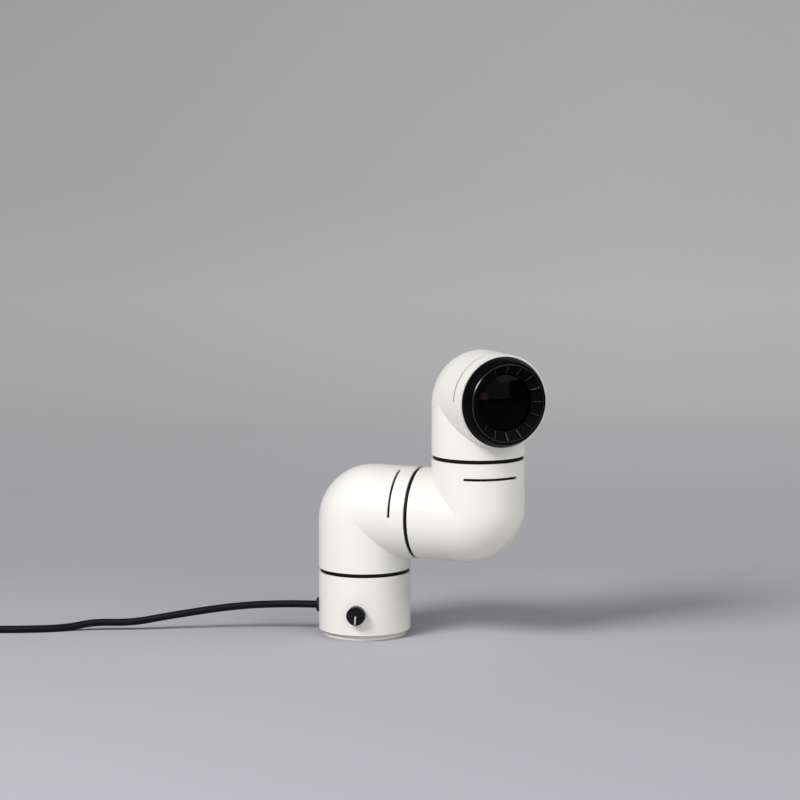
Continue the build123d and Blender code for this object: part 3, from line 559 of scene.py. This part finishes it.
def makeBaseTube():
    radius, bore = tube["radius"], tube["radius"] - tube["wall"]
    top = joints["baseTop"] - tube["endTrim"]
    piece = turnShape([(radius, base["bottom"]), (radius, top), (bore, top), (bore, base["bottom"])],
                      tube["sides"])
    cleanShape()
    for height in (base["bottom"], top):
        bevelRing(piece, radius, height, tube["rimRound"], 3)
    for place, hole in ((knobFace, base["bushingHole"]), (glandFace, base["glandHole"])):
        drill = plainDisc(hole, -base["holeReach"], base["holeReach"], base["holeSides"])
        cutWith(piece, moveShape(drill, place))
    smoothShape(piece)
    evenNormals(piece)
    lugs = []
    for quarter in range(4):
        size = (base["lugOuter"] - base["lugInner"], base["lugWidth"], base["lugHeight"])
        centre = ((base["lugOuter"] + base["lugInner"]) / 2, 0, base["lugBase"] + base["lugHeight"] / 2)
        lug = startBox(size, centre)
        pickEdges(lug, lambda a, b: abs(a.z - b.z) > 1)
        roundEdges(base["lugEdge"], 2)
        lugs.append(moveShape(lug, quarterTurn(quarter)))
    settle(joinShapes([piece, *lugs]), "baseTube", "base", "shell_white", ["base_shell"])


foot = dict(radius=36.1, bottom=0.15, top=5.1, edge=0.4, recessRadius=35.3, recess=1.65)


def makeFoot():
    piece = startCircle(foot["radius"], foot["top"], tube["sides"], filled=True)
    extrudeTo((0, 0, foot["bottom"] - foot["top"]))
    pickFaces(piece, lambda middle, normal: abs(normal.z) > 0.9 and middle.z < foot["bottom"] + 0.1)
    bpy.ops.mesh.inset(thickness=(foot["radius"] - foot["recessRadius"]) * mm)
    extrudeTo((0, 0, foot["recess"]))
    cleanShape()
    for height in (foot["bottom"], foot["top"]):
        bevelRing(piece, foot["radius"], height, foot["edge"], 3)
    smoothShape(piece)
    evenNormals(piece)
    settle(piece, "footPlate", "base", "foot_white", ["foot_plate"])


pad = dict(radius=35.2, ring=4.0, groove=1.2, depth=0.5, sides=96)


def makeFootPad():
    # a rubber disc in the foot's recess, with a groove near its edge
    top = foot["bottom"] + foot["recess"]
    piece = startCircle(pad["radius"], top, pad["sides"], filled=True)
    extrudeTo((0, 0, -top))
    pickFaces(piece, lambda middle, normal: abs(normal.z) > 0.9 and middle.z < 0.1)
    bpy.ops.mesh.inset(thickness=pad["ring"] * mm)
    bpy.ops.mesh.inset(thickness=pad["groove"] * mm)
    outer = pad["radius"] - pad["ring"]
    inner = outer - pad["groove"]
    pickFaces(piece, lambda middle, normal: abs(middle.z) < near
              and inner - 0.1 < middle.xy.length < outer + 0.1)
    extrudeTo((0, 0, pad["depth"]))
    cleanShape()
    smoothShape(piece)
    settle(piece, "footPad", "base", slotOf["foot_pad"], ["foot_pad"])


screws = dict(circle=34.0, head=1.95, neck=3.51, shank=1.5, bottom=1.81, top=16.4, slot=0.8, slotDepth=0.8,
              edge=0.3, sides=32)


def makeFootScrews():
    head, bottom = screws["head"], screws["bottom"]
    outline = outlineOf(screws, "head bottom", "head neck", "shank neck", "shank top")
    screw = turnShape(outline, screws["sides"], closed=False)
    closeEnds(screw, head, bottom)
    bevelRing(screw, head, bottom, screws["edge"], 2)
    cutWith(screw, startBox((3 * head, screws["slot"], 2 * screws["slotDepth"]), (0, 0, bottom)))
    smoothShape(screw)
    outward = Matrix.Translation(point(screws["circle"], 0, 0))
    copies = [moveShape(copyShape(screw), quarterTurn(quarter) @ outward) for quarter in range(4)]
    bpy.data.objects.remove(screw)
    settle(joinShapes(copies), "footScrews", "base", slotOf["foot_screws"], ["foot_screws"])


knob = dict(radius=8.1, standoff=1.0, front=7.5, skirtBore=6.7, recessTop=3.4, shaftBore=3.05, shaftTop=6.0,
            edge=0.7, backEdge=0.3, pointerLength=7.4, pointerWidth=1.2, pointerDepth=0.4, pointerAngle=-94.0,
            pointerGap=0.06, pointerEdge=0.1, sides=112)


def pointerBar(grow, depth):
    width, length = knob["pointerWidth"] + grow, knob["pointerLength"] + grow
    return startBox((length, width, depth), (knob["pointerLength"] / 2, 0, knob["front"] - depth / 2))


def makeKnob():
    outline = outlineOf(knob, "shaftBore shaftTop", "shaftBore recessTop", "skirtBore recessTop",
                        "skirtBore standoff", "radius standoff", "radius front")
    piece = turnShape(outline, knob["sides"], closed=False)
    closeEnds(piece, knob["shaftBore"], knob["shaftTop"])
    bevelRing(piece, knob["radius"], knob["front"], knob["edge"], 5)
    bevelRing(piece, knob["radius"], knob["standoff"], knob["backEdge"], 2)
    cutter = pointerBar(knob["pointerGap"], 2 * knob["pointerDepth"])
    turn = Matrix.Rotation(radians(knob["pointerAngle"]), 4, "Z")
    cutter = moveShape(cutter, Matrix.Translation(point(0, 0, knob["pointerDepth"])) @ turn)
    cutWith(piece, cutter)
    smoothShape(piece)
    evenNormals(piece)
    settle(moveShape(piece, knobFace), "dimmerKnob", "knob", "knob_black", ["dimmer_knob"])
    mark = pointerBar(0, knob["pointerDepth"])
    pickEdges(mark, lambda a, b: min(a.z, b.z) > knob["front"] - near or abs(a.z - b.z) > 0.1)
    roundEdges(knob["pointerEdge"], 2)
    smoothShape(mark)
    settle(moveShape(mark, knobFace @ turn), "knobPointer", "knob", "pointer_white", ["knob_pointer"])


gland = dict(radius=6.5, rear=-1.6, height=2.6, round=1.6, bore=3.25, shank=5.0, shankEnd=-5.7,
             shankStart=1.0, lipRound=0.45, seatGap=0.03, sides=96, shankSides=64, seatSides=256)


def makeGland():
    flange = turnShape(outlineOf(gland, "bore rear", "radius rear", "radius height", "bore height"),
                       gland["sides"])
    cleanShape()
    bevelRing(flange, gland["radius"], gland["height"], gland["round"], 7)
    bevelRing(flange, gland["bore"], gland["height"], gland["lipRound"], 3)
    moveShape(flange, glandFace)
    seat = plainDisc(tube["radius"] + gland["seatGap"], 0, 2 * base["controlHeight"], gland["seatSides"])
    cutWith(flange, seat)
    outline = outlineOf(gland, "bore shankEnd", "shank shankEnd", "shank shankStart", "bore shankStart")
    shank = turnShape(outline, gland["shankSides"])
    cleanShape()
    moveShape(shank, glandFace)
    piece = joinShapes([flange, shank])
    smoothShape(piece)
    settle(piece, "cordGland", "base", "knob_black", ["cord_gland"])


makeBaseTube()
makeFoot()
makeFootPad()
makeFootScrews()
makeKnob()
makeGland()
print("the base, its foot, knob and gland are modelled")


# head: bezel and front glass

bezel = dict(bore=24.0, seat=25.75, seatTop=2.8, lip=1.9, throat=2.9, mouth=32.2, front=9.1, steps=3,
             riser=1.2, flatEdge=32.6, grooveEdge=33.3, grooveMiddle=33.7, grooveFloor=7.8, shoulder=34.1,
             shoulderHeight=8.3, shoulderRound=1.1, shoulderTurn=66.0, shoulderSteps=6, side=38.35,
             sideHeight=0.3, spigot=-8.0, inner=36.55, innerHeight=2.7, backHeight=7.3, seatOuter=27.55,
             seatBack=-3.3, edge=0.14, sides=160)
softAngle = 28.0  # edges that turn by more than this many degrees are bevelled on turned shapes


def softenEdges(piece, size):
    # a small bevel on every sharp edge of a finished shape
    applyModifier(piece, "BEVEL", width=size * mm, segments=2, limit_method="ANGLE",
                  angle_limit=radians(softAngle))
    smoothShape(piece, angle=40)


funnelSlope = (bezel["front"] - bezel["throat"]) / (bezel["mouth"] - bezel["bore"])


def bezelOutline():
    outline = outlineOf(bezel, "seat lip", "bore lip", "bore throat")
    for step in range(1, bezel["steps"] + 1):
        radius = bezel["bore"] + (bezel["mouth"] - bezel["bore"]) * step / bezel["steps"]
        height = bezel["throat"] + (radius - bezel["bore"]) * funnelSlope
        outline += [(radius, height - bezel["riser"]), (radius, height)]
    outline += outlineOf(bezel, "flatEdge front", "grooveEdge shoulderHeight", "grooveMiddle grooveFloor")
    for step in range(bezel["shoulderSteps"] + 1):
        angle = radians(bezel["shoulderTurn"]) * step / bezel["shoulderSteps"]
        outline.append((bezel["shoulder"] + bezel["shoulderRound"] * sin(angle),
                        bezel["shoulderHeight"] - bezel["shoulderRound"] * (1 - cos(angle))))
    return outline + outlineOf(bezel, "side sideHeight", "side spigot", "inner spigot", "inner innerHeight",
                               "mouth backHeight", "seatOuter seatTop", "seatOuter seatBack", "seat seatBack")


def makeBezel():
    ring = turnShape(bezelOutline(), bezel["sides"])
    cleanShape()
    softenEdges(ring, bezel["edge"])
    evenNormals(ring)
    settle(moveShape(ring, rimPlane), "headBezel", "head", "black_lacquer", ["bezel"])


ribs = dict(count=16, start=24.95, end=31.4, width=0.9, rise=0.5, root=1.25, edge=0.25)
lip = dict(gap=0.05, proud=0.03, edge=0.08)


def makeRibs():
    # slanted bars round the funnel, rounded along their two upper edges
    length = ribs["end"] - ribs["start"]
    thickness = ribs["rise"] + ribs["root"]
    middle = bezel["throat"] + (ribs["start"] - bezel["bore"]) * funnelSlope + ribs["rise"] - thickness / 2
    rib = startBox((length, ribs["width"], thickness), (ribs["start"] + length / 2, 0, middle))
    pickFaces(rib, lambda middle, normal: normal.x > 0.9)
    bpy.ops.transform.translate(value=point(0, 0, length * funnelSlope))
    halfway = middle + length * funnelSlope / 2
    pickEdges(rib, lambda a, b: abs(a.x - b.x) > 1 and (a.z + b.z) / 2 > halfway)
    roundEdges(ribs["edge"], 3)
    cleanShape()
    smoothShape(rib, angle=40)
    copies = [moveShape(copyShape(rib), Matrix.Rotation(2 * pi * turn / ribs["count"], 4, "Z"))
              for turn in range(ribs["count"])]
    bpy.data.objects.remove(rib)
    return copies


def makeLip():
    # a bright ring round the funnel's mouth
    mouth, back = bezel["mouth"] + lip["gap"], bezel["backHeight"]
    top, low = bezel["front"] + lip["proud"], bezel["shoulderHeight"] + lip["proud"]
    ring = turnShape([(mouth, top), (bezel["flatEdge"], top), (bezel["grooveEdge"], low),
                      (bezel["grooveEdge"], back), (mouth, back)], bezel["sides"])
    cleanShape()
    softenEdges(ring, lip["edge"])
    return ring


def makeTrim():
    trim = joinShapes([makeLip(), *makeRibs()])
    settle(moveShape(trim, rimPlane), "bezelTrim", "head", "black_lacquer", finish="polished_ribs")


glass = dict(flange=25.6, flangeBottom=0.3, flangeTop=1.9, dome=23.85, domeBase=2.6, domeTop=7.6,
             hollow=21.85, hollowTop=5.6, rings=14, edge=0.35, sides=128)


def capRings(edgeRadius, edgeHeight, topHeight, inward):
    # rings of a spherical cap from its edge to near its top, or back
    rise = topHeight - edgeHeight
    sphere = (edgeRadius ** 2 + rise ** 2) / (2 * rise)
    reach = asin(edgeRadius / sphere)
    rings = []
    for step in range(glass["rings"]):
        angle = reach * (1 - step / glass["rings"])
        rings.append((sphere * sin(angle), topHeight - sphere + sphere * cos(angle)))
    return rings if inward else rings[::-1]


def makeGlassPiece():
    hollow = capRings(glass["hollow"], glass["flangeBottom"], glass["hollowTop"], inward=False)
    outer = capRings(glass["dome"], glass["domeBase"], glass["domeTop"], inward=True)
    flange = outlineOf(glass, "flange flangeBottom", "flange flangeTop", "dome flangeTop")
    piece = turnShape([*hollow, *flange, *outer], glass["sides"], closed=False)
    extrudeTo((0, 0, glass["domeTop"] - outer[-1][1]))
    bpy.ops.mesh.merge(type="CENTER")
    pickEdges(piece, ringEdge(*hollow[0]))
    extrudeTo((0, 0, glass["hollowTop"] - hollow[0][1]))
    bpy.ops.mesh.merge(type="CENTER")
    cleanShape()
    bevelRing(piece, glass["dome"], glass["domeBase"], glass["edge"], 3)
    smoothShape(piece, angle=40)
    settle(moveShape(piece, rimPlane), "frontGlass", "head", "dark_glass", ["cover_glass"])


makeBezel()
makeTrim()
makeGlassPiece()
print("the bezel and the front glass are modelled")


# cord, coil, tie and plug

cord = dict(radius=3.2, exit=(-42.6, 0.0, 23.8), length=1800.0,
            route=[(-42.6, 0.0, 23.8), (-68.0, 0.0, 23.8), (-113.7, -4.6, 21.4), (-171.6, -16.0, 12.7),
                   (-204.0, -22.9, 6.6), (-236.5, -28.6, 7.4), (-256.8, -34.7, 3.2), (-280.2, -46.2, 3.2),
                   (-329.4, -55.6, 3.2)])
# each of the coil's turns is an angle round its centre, the winding's radius there and its height
coil = dict(centre=(-371.7, -106.8), start=89.5, end=2172.75, steps=93,
            turns=[(0, 42.6, 3.2), (134, 42.6, 4.0), (390, 42.6, 4.0), (440, 36.2, 4.0), (750, 36.2, 4.0),
                   (800, 29.8, 4.0), (1060, 29.8, 4.0), (1110, 29.8, 10.4), (1370, 29.8, 10.4),
                   (1420, 36.2, 10.4), (1730, 36.2, 10.4), (1780, 42.6, 10.4), (2030, 42.6, 10.4),
                   (2115, 42.6, 16.8), (2300, 42.6, 16.8)])
plugRoute = dict(entry=(-353.6, -73.2, 20.4), bend=28.2, arc=56.0, steps=3, heights=(17.5, 19.0, 20.2),
                 straight=4.5, relief=12.0)


def eased(share):
    # a share that starts and ends slowly
    return share * share * (3 - 2 * share)


def coilPlace(turn):
    # radius and height of the winding at an angle round the coil, eased between the listed turns
    rows = coil["turns"]
    for (before, radius, height), (after, nextRadius, nextHeight) in zip(rows, rows[1:]):
        if turn <= after:
            share = eased((turn - before) / (after - before))
            return radius + (nextRadius - radius) * share, height + (nextHeight - height) * share
    return rows[-1][1], rows[-1][2]


def cordRoute():
    places = [Vector(place) for place in cord["route"]]
    step = (coil["end"] - coil["start"]) / coil["steps"]
    spread = 1 / cos(radians(step / 2))  # the spline touches the middles of its control points' runs
    for index in range(coil["steps"] + 1):
        turn = coil["start"] + index * step
        radius, height = coilPlace(turn)
        angle = radians(turn)
        places.append(Vector((coil["centre"][0] + radius * spread * cos(angle),
                              coil["centre"][1] + radius * spread * sin(angle), height)))
    entry, heading = Vector(plugRoute["entry"]), radians(plug["heading"])
    inward = Vector((-plugAhead.y, plugAhead.x, 0))
    arcStep = plugRoute["arc"] / plugRoute["steps"]
    outer = plugRoute["bend"] / cos(radians(arcStep / 2))
    middle = entry + inward * plugRoute["bend"]
    for index, height in enumerate(plugRoute["heights"]):
        angle = heading - radians(90) - radians(plugRoute["arc"] - arcStep * (index + 0.5))
        places.append(Vector((middle.x + outer * cos(angle), middle.y + outer * sin(angle), height)))
    places.append(entry + plugAhead * plugRoute["straight"])
    places.append(entry + plugAhead * plugRoute["relief"])
    return places


def makeCord():
    places = cordRoute()
    line = bpy.data.curves.new("powerCord", "CURVE")
    line.dimensions = "3D"
    line.bevel_depth = cord["radius"] * mm
    line.bevel_resolution = 5
    line.resolution_u = 6
    line.use_fill_caps = True
    spline = line.splines.new("NURBS")
    spline.points.add(len(places) - 1)
    for knot, place in zip(spline.points, places):
        knot.co = (*(place * mm), 1)
    spline.order_u = 3
    spline.use_endpoint_u = True
    piece = bpy.data.objects.new("powerCord", line)
    bpy.context.scene.collection.objects.link(piece)
    line.materials.append(finishes["cord_black"])
    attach(piece, "base")
    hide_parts("power_cord", "cord_coil")
    return piece


plug = dict(rear=(-365.41, -71.15, 20.4), heading=170.0, length=36.0, width=26.0, thickness=13.6, nose=14.0,
            rearWidth=11.0, corner=3.0, edge=2.0, faceInset=1.2, faceDepth=0.4, grips=5, gripStart=5.0,
            gripStep=3.2, gripWidth=1.1, gripDepth=0.5)
relief = dict(length=12.0, radius=5.0, endRadius=4.2, bore=3.3, overlap=0.8, grooves=3, grooveStart=1.8,
              grooveStep=3.2, grooveWidth=1.2, grooveDepth=0.6, slant=0.1, edge=0.15, sides=64)
pins = dict(radius=2.0, neck=1.75, length=19.0, spread=8.9, root=0.8, sleeve=10.0, sleeveGap=0.02, tip=1.6,
            tipAngles=(18, 36, 52, 66, 78), step=0.1, sides=48)
plugAhead = Vector((cos(radians(plug["heading"])), sin(radians(plug["heading"])), 0))
plugLying = frameAt(plug["rear"], up, plugAhead)
plugAxis = frameAt(plug["rear"], plugAhead, up)


def plugBlock():
    length, half, rear = plug["length"], plug["width"] / 2, plug["rearWidth"] / 2
    shoulder, flat = length - plug["nose"], plug["thickness"] / 2
    block = startBox((length, plug["width"], plug["thickness"]), (length / 2, 0, 0))
    for side in (-1, 1):
        # the block narrows from its shoulders to its rear
        slant = Vector((rear - half, side * shoulder, 0)).normalized()
        selectAll()
        bpy.ops.mesh.bisect(plane_co=point(0, side * rear, 0), plane_no=slant, clear_outer=True,
                            use_fill=True, threshold=cutLine)
    cleanShape()
    pickEdges(block, lambda a, b: abs(a.z - b.z) > 1)
    roundEdges(plug["corner"], 6)
    pickEdges(block, lambda a, b: abs(a.z - b.z) < near and abs(abs(a.z) - flat) < near)
    roundEdges(plug["edge"], 5)
    pickFaces(block, lambda middle, normal: normal.x > 0.99 and middle.x > length - 0.1)
    bpy.ops.mesh.inset(thickness=plug["faceInset"] * mm)
    extrudeTo((-plug["faceDepth"], 0, 0))
    cleanShape()
    bars = []
    for index in range(plug["grips"]):
        for side in (-1, 1):
            middle = (plug["gripStart"] + index * plug["gripStep"], 0, side * flat)
            bars.append(startBox((plug["gripWidth"], 2 * plug["width"], 2 * plug["gripDepth"]), middle))
    cutWith(block, joinShapes(bars))
    smoothShape(block)
    return block


def plugRelief():
    # a grooved sleeve that widens towards the plug
    length, end, slant = relief["length"], relief["endRadius"], relief["slant"]
    outline = [(relief["bore"], -length), (end, -length)]
    for index in range(relief["grooves"]):
        start = -length + relief["grooveStart"] + index * relief["grooveStep"]
        radius = end + (relief["radius"] - end) * (start + length) / length
        waist = radius - relief["grooveDepth"]
        outline += [(radius, start), (waist, start + slant), (waist, start + relief["grooveWidth"]),
                    (radius + slant / 2, start + relief["grooveWidth"] + slant)]
    outline += outlineOf(relief, "radius overlap", "bore overlap")
    sleeve = turnShape(outline, relief["sides"])
    cleanShape()
    softenEdges(sleeve, relief["edge"])
    return sleeve


def makePin():
    # a round pin with a thinner neck for its sleeve and a rounded tip
    face, radius, neck = plug["length"] - plug["faceDepth"] - pins["root"], pins["radius"], pins["neck"]
    tip, step = plug["length"] + pins["length"] - pins["tip"], plug["length"] + pins["sleeve"]
    outline = [(neck, face), (neck, step), (radius, step + pins["step"]), (radius, tip)]
    outline += [(radius * cos(radians(angle)), tip + pins["tip"] * sin(radians(angle)))
                for angle in pins["tipAngles"]]
    pin = turnShape(outline, pins["sides"], closed=False)
    closeEnds(pin, neck, face)
    smoothShape(pin, angle=40)
    inner, end = neck + pins["sleeveGap"], step - pins["step"]
    cover = turnShape([(inner, face), (radius, face), (radius, end), (inner, end)], pins["sides"])
    cleanShape()
    smoothShape(cover)
    return pin, cover


def makePlug():
    block, sleeve = plugBlock(), plugRelief()
    body = joinShapes([moveShape(block, plugLying), moveShape(sleeve, plugAxis)])
    settle(body, "plugBody", "base", slotOf["plug_body"], ["plug_body"])
    pin, cover = makePin()
    places = [plugAxis @ Matrix.Translation(point(0, side * pins["spread"], 0)) for side in (-1, 1)]
    pair = joinShapes([moveShape(copyShape(pin), place) for place in places])
    covers = joinShapes([moveShape(copyShape(cover), place) for place in places])
    bpy.data.objects.remove(pin)
    bpy.data.objects.remove(cover)
    settle(pair, "plugPins", "base", slotOf["plug_pins"], ["plug_pins"])
    settle(covers, "pinSleeves", "base", slotOf["plug_body"])
    return [body, pair, covers]


tie = dict(azimuth=185.0, middle=36.2, ring=19.2, top=13.6, thickness=0.8, width=12.0, corner=4.0, edge=0.15,
           tail=11.0, tailShift=2.0, tailWidth=11.6, tailRound=2.5)


def makeTie():
    # a fabric band round the winding, with its end lapped over the top
    thickness = tie["thickness"]
    band = startBox((tie["ring"] + 2 * thickness, tie["width"], tie["top"] + thickness),
                    (tie["middle"], 0, (tie["top"] + thickness) / 2))
    pickFaces(band, lambda middle, normal: abs(normal.y) > 0.9)
    bpy.ops.mesh.delete(type="ONLY_FACE")
    pickEdges(band, lambda a, b: abs(a.y - b.y) > 1)
    roundEdges(tie["corner"], 8)
    cleanShape()
    applyModifier(band, "SOLIDIFY", thickness=thickness * mm, offset=-1)
    tail = startBox((tie["tail"], tie["tailWidth"], thickness),
                    (tie["middle"] + tie["tailShift"], 0, tie["top"] + 1.5 * thickness))
    pickEdges(tail, lambda a, b: abs(a.z - b.z) > 0.1 and a.x < tie["middle"])
    roundEdges(tie["tailRound"], 6)
    piece = joinShapes([band, tail])
    applyModifier(piece, "BEVEL", width=tie["edge"] * mm, segments=2, limit_method="ANGLE",
                  angle_limit=radians(40))
    smoothShape(piece, angle=40)
    turn = Matrix.Rotation(radians(tie["azimuth"]), 4, "Z")
    moveShape(piece, Matrix.Translation(point(*coil["centre"], 0)) @ turn)
    return settle(piece, "cordTie", "base", slotOf["cord_tie"], ["cord_tie"])


makeCamera()
powerCord = makeCord()
plugParts = [*makePlug(), makeTie()]
print("the cord lies in its route and coil")


# floor, light and background

# Each of the paper's tones is a share of the way from tonesStart to tonesEnd, back and up the sheet from the
# lamp, and the colour there; the tones are painted light and shade that stand in for how the lamps light the
# sheet. Across the sheet the tones are multiplied by a share between two, a painted shade to the left and
# painted light to the right.
studio = dict(width=16000.0, front=-4000.0, back=1300.0, sweep=1500.0, sweepSteps=40, wall=6000.0,
              tones=[(0.08, (0.43, 0.43, 0.47)), (0.22, (0.475, 0.47, 0.51)), (0.29, (0.6, 0.6, 0.64)),
                     (0.34, (0.735, 0.73, 0.77)), (0.395, (0.88, 0.87, 0.9)), (0.5, (0.91, 0.905, 0.925)),
                     (0.57, (0.835, 0.83, 0.85)), (0.67, (0.8, 0.795, 0.815))],
              tonesStart=-1000.0, tonesEnd=5000.0, across=(0.95, 1.04), acrossReach=400.0,
              paperRoughness=0.9, paperGloss=0.1, bounce=(0.52, 0.52, 0.52, 1),
              worldLow=(0.1, 0.1, 0.102), worldHigh=(0, 0, 0), mirrored=(0.22, 0.22, 0.23, 1),
              beyond=(0.4, 0.4, 0.42, 1))


def rayOf(tree, *kinds):
    # 1 where a ray is of any of these kinds, else 0
    path = addNode(tree, "ShaderNodeLightPath")
    found = path.outputs[kinds[0]]
    for kind in kinds[1:]:
        either = addNode(tree, "ShaderNodeMath", operation="MAXIMUM")
        tree.links.new(found, either.inputs[0])
        tree.links.new(path.outputs[kind], either.inputs[1])
        found = either.outputs["Value"]
    return found


def mixOf(tree, share, low, high, blend="MIX"):
    # a mix of two colours, where the share and the colours are outputs or plain values
    mix = addNode(tree, "ShaderNodeMix", data_type="RGBA", blend_type=blend)
    for socket, value in ((mix.inputs[0], share), (mix.inputs[6], low), (mix.inputs[7], high)):
        if isinstance(value, bpy.types.NodeSocket):
            tree.links.new(value, socket)
        else:
            socket.default_value = value
    return mix.outputs[2]


def sweepPaper():
    made, tree, shader = newMaterial("sweepPaper")
    place = addNode(tree, "ShaderNodeTexCoord").outputs["Object"]
    turn = addNode(tree, "ShaderNodeMapping")
    turn.inputs["Rotation"].default_value = (0, 0, radians(-camera["heading"]))
    tree.links.new(place, turn.inputs["Vector"])
    split = addNode(tree, "ShaderNodeSeparateXYZ")
    tree.links.new(turn.outputs["Vector"], split.inputs["Vector"])
    total = addNode(tree, "ShaderNodeMath", operation="ADD")
    tree.links.new(split.outputs["Y"], total.inputs[0])
    tree.links.new(split.outputs["Z"], total.inputs[1])
    start, end = studio["tonesStart"] * mm, studio["tonesEnd"] * mm
    along = rangeOf(tree, total.outputs["Value"], 0.0, 1.0, start, end)
    # the ramp's bands are painted light and shade along the sheet
    ramp = addNode(tree, "ShaderNodeValToRGB")
    tones = studio["tones"]
    while len(ramp.color_ramp.elements) < len(tones):
        ramp.color_ramp.elements.new(0.5)
    for stop, (position, colour) in zip(ramp.color_ramp.elements, tones):
        stop.position = position
        stop.color = (*colour, 1)
    tree.links.new(along, ramp.inputs["Fac"])
    # painted shade towards the left of the sheet and painted light towards its right
    side = studio["acrossReach"] * mm
    across = rangeOf(tree, split.outputs["X"], *studio["across"], -side, side)
    paintedLightAndShade = mixOf(tree, 1.0, ramp.outputs["Color"], across, "MULTIPLY")
    # the sheet throws light back as a mid grey, whatever tone it shows
    seen = rayOf(tree, "Is Camera Ray", "Is Glossy Ray", "Is Transmission Ray")
    tree.links.new(mixOf(tree, seen, studio["bounce"], paintedLightAndShade), shader.inputs["Base Color"])
    shader.inputs["Roughness"].default_value = studio["paperRoughness"]
    shader.inputs["Specular IOR Level"].default_value = studio["paperGloss"]
    return made


def makeFloor():
    # one sheet: the floor, a wide sweep behind the lamp and a wall
    leaveEdit()
    bpy.ops.mesh.primitive_plane_add(size=1)
    floor = bpy.context.object
    floor.name = "floorSweep"
    depth = studio["back"] - studio["front"]
    floor.scale = (studio["width"] * mm, depth * mm, 1)
    floor.location = point(0, studio["front"] + depth / 2, 0)
    openShape()
    pickEdges(floor, lambda a, b: min(a.y, b.y) > studio["back"] - 1)
    bpy.ops.mesh.spin(steps=studio["sweepSteps"], angle=radians(-90), axis=(1, 0, 0),
                      center=point(0, studio["back"], studio["sweep"]))
    pickEdges(floor, lambda a, b: min(a.z, b.z) > studio["sweep"] - 1)
    extrudeTo((0, 0, studio["wall"]))
    cleanShape()
    moveShape(floor, Matrix.Rotation(radians(camera["heading"]), 4, "Z"))
    smoothShape(floor, angle=60)
    floor.data.materials.append(sweepPaper())


def makeWorld():
    world = bpy.data.worlds.new("studio")
    bpy.context.scene.world = world
    world.use_nodes = True
    tree = world.node_tree
    background = tree.nodes["Background"]
    place = addNode(tree, "ShaderNodeTexCoord").outputs["Generated"]
    split = addNode(tree, "ShaderNodeSeparateXYZ")
    tree.links.new(place, split.inputs["Vector"])
    height = rangeOf(tree, split.outputs["Z"], 0.0, 1.0, -0.1, 0.9)
    glow = rampOf(tree, height, studio["worldLow"], studio["worldHigh"], 0.0, 1.0)
    # gloss and glass show a plain grey instead
    mirrored = rayOf(tree, "Is Glossy Ray", "Is Transmission Ray")
    glow = mixOf(tree, mirrored, glow, studio["mirrored"])
    # past the edge of the sheet the camera sees a mid grey
    glow = mixOf(tree, rayOf(tree, "Is Camera Ray"), glow, studio["beyond"])
    tree.links.new(glow, background.inputs["Color"])
    background.inputs["Strength"].default_value = 1.0


aim = (60, -20, 110)  # where the lights point
# Azimuth is counted from the camera's side, to the right. Distance is from the point they aim at.
lights = {
    "key": dict(azimuth=-46, elevation=38, distance=2200, width=900, height=700, power=45,
                colour=(1.0, 0.99, 0.965)),
    "right": dict(azimuth=60, elevation=45, distance=2800, width=2200, height=2000, power=33,
                  colour=(1.0, 1.0, 0.99)),
    "front": dict(azimuth=25, elevation=20, distance=3000, width=3200, height=2000, power=21,
                  colour=(1.0, 1.0, 1.0)),
}


def makeLights():
    for name, row in lights.items():
        lamp = bpy.data.lights.new(name, "AREA")
        lamp.shape = "RECTANGLE"
        lamp.size = row["width"] * mm
        lamp.size_y = row["height"] * mm
        lamp.energy = row["power"]
        lamp.color = row["colour"]
        holder = bpy.data.objects.new(name, lamp)
        holder.visible_camera = False
        bpy.context.scene.collection.objects.link(holder)
        azimuth = radians(row["azimuth"] + camera["heading"] - 90)
        elevation = radians(row["elevation"])
        way = Vector((cos(azimuth) * cos(elevation), sin(azimuth) * cos(elevation), sin(elevation)))
        holder.location = point(*aim) + way * row["distance"] * mm
        holder.rotation_euler = (-way).to_track_quat("-Z", "Y").to_euler()


makeFloor()
makeWorld()
makeLights()
bpy.context.scene.view_settings.view_transform = "Standard"
print("the floor and the lights are set")
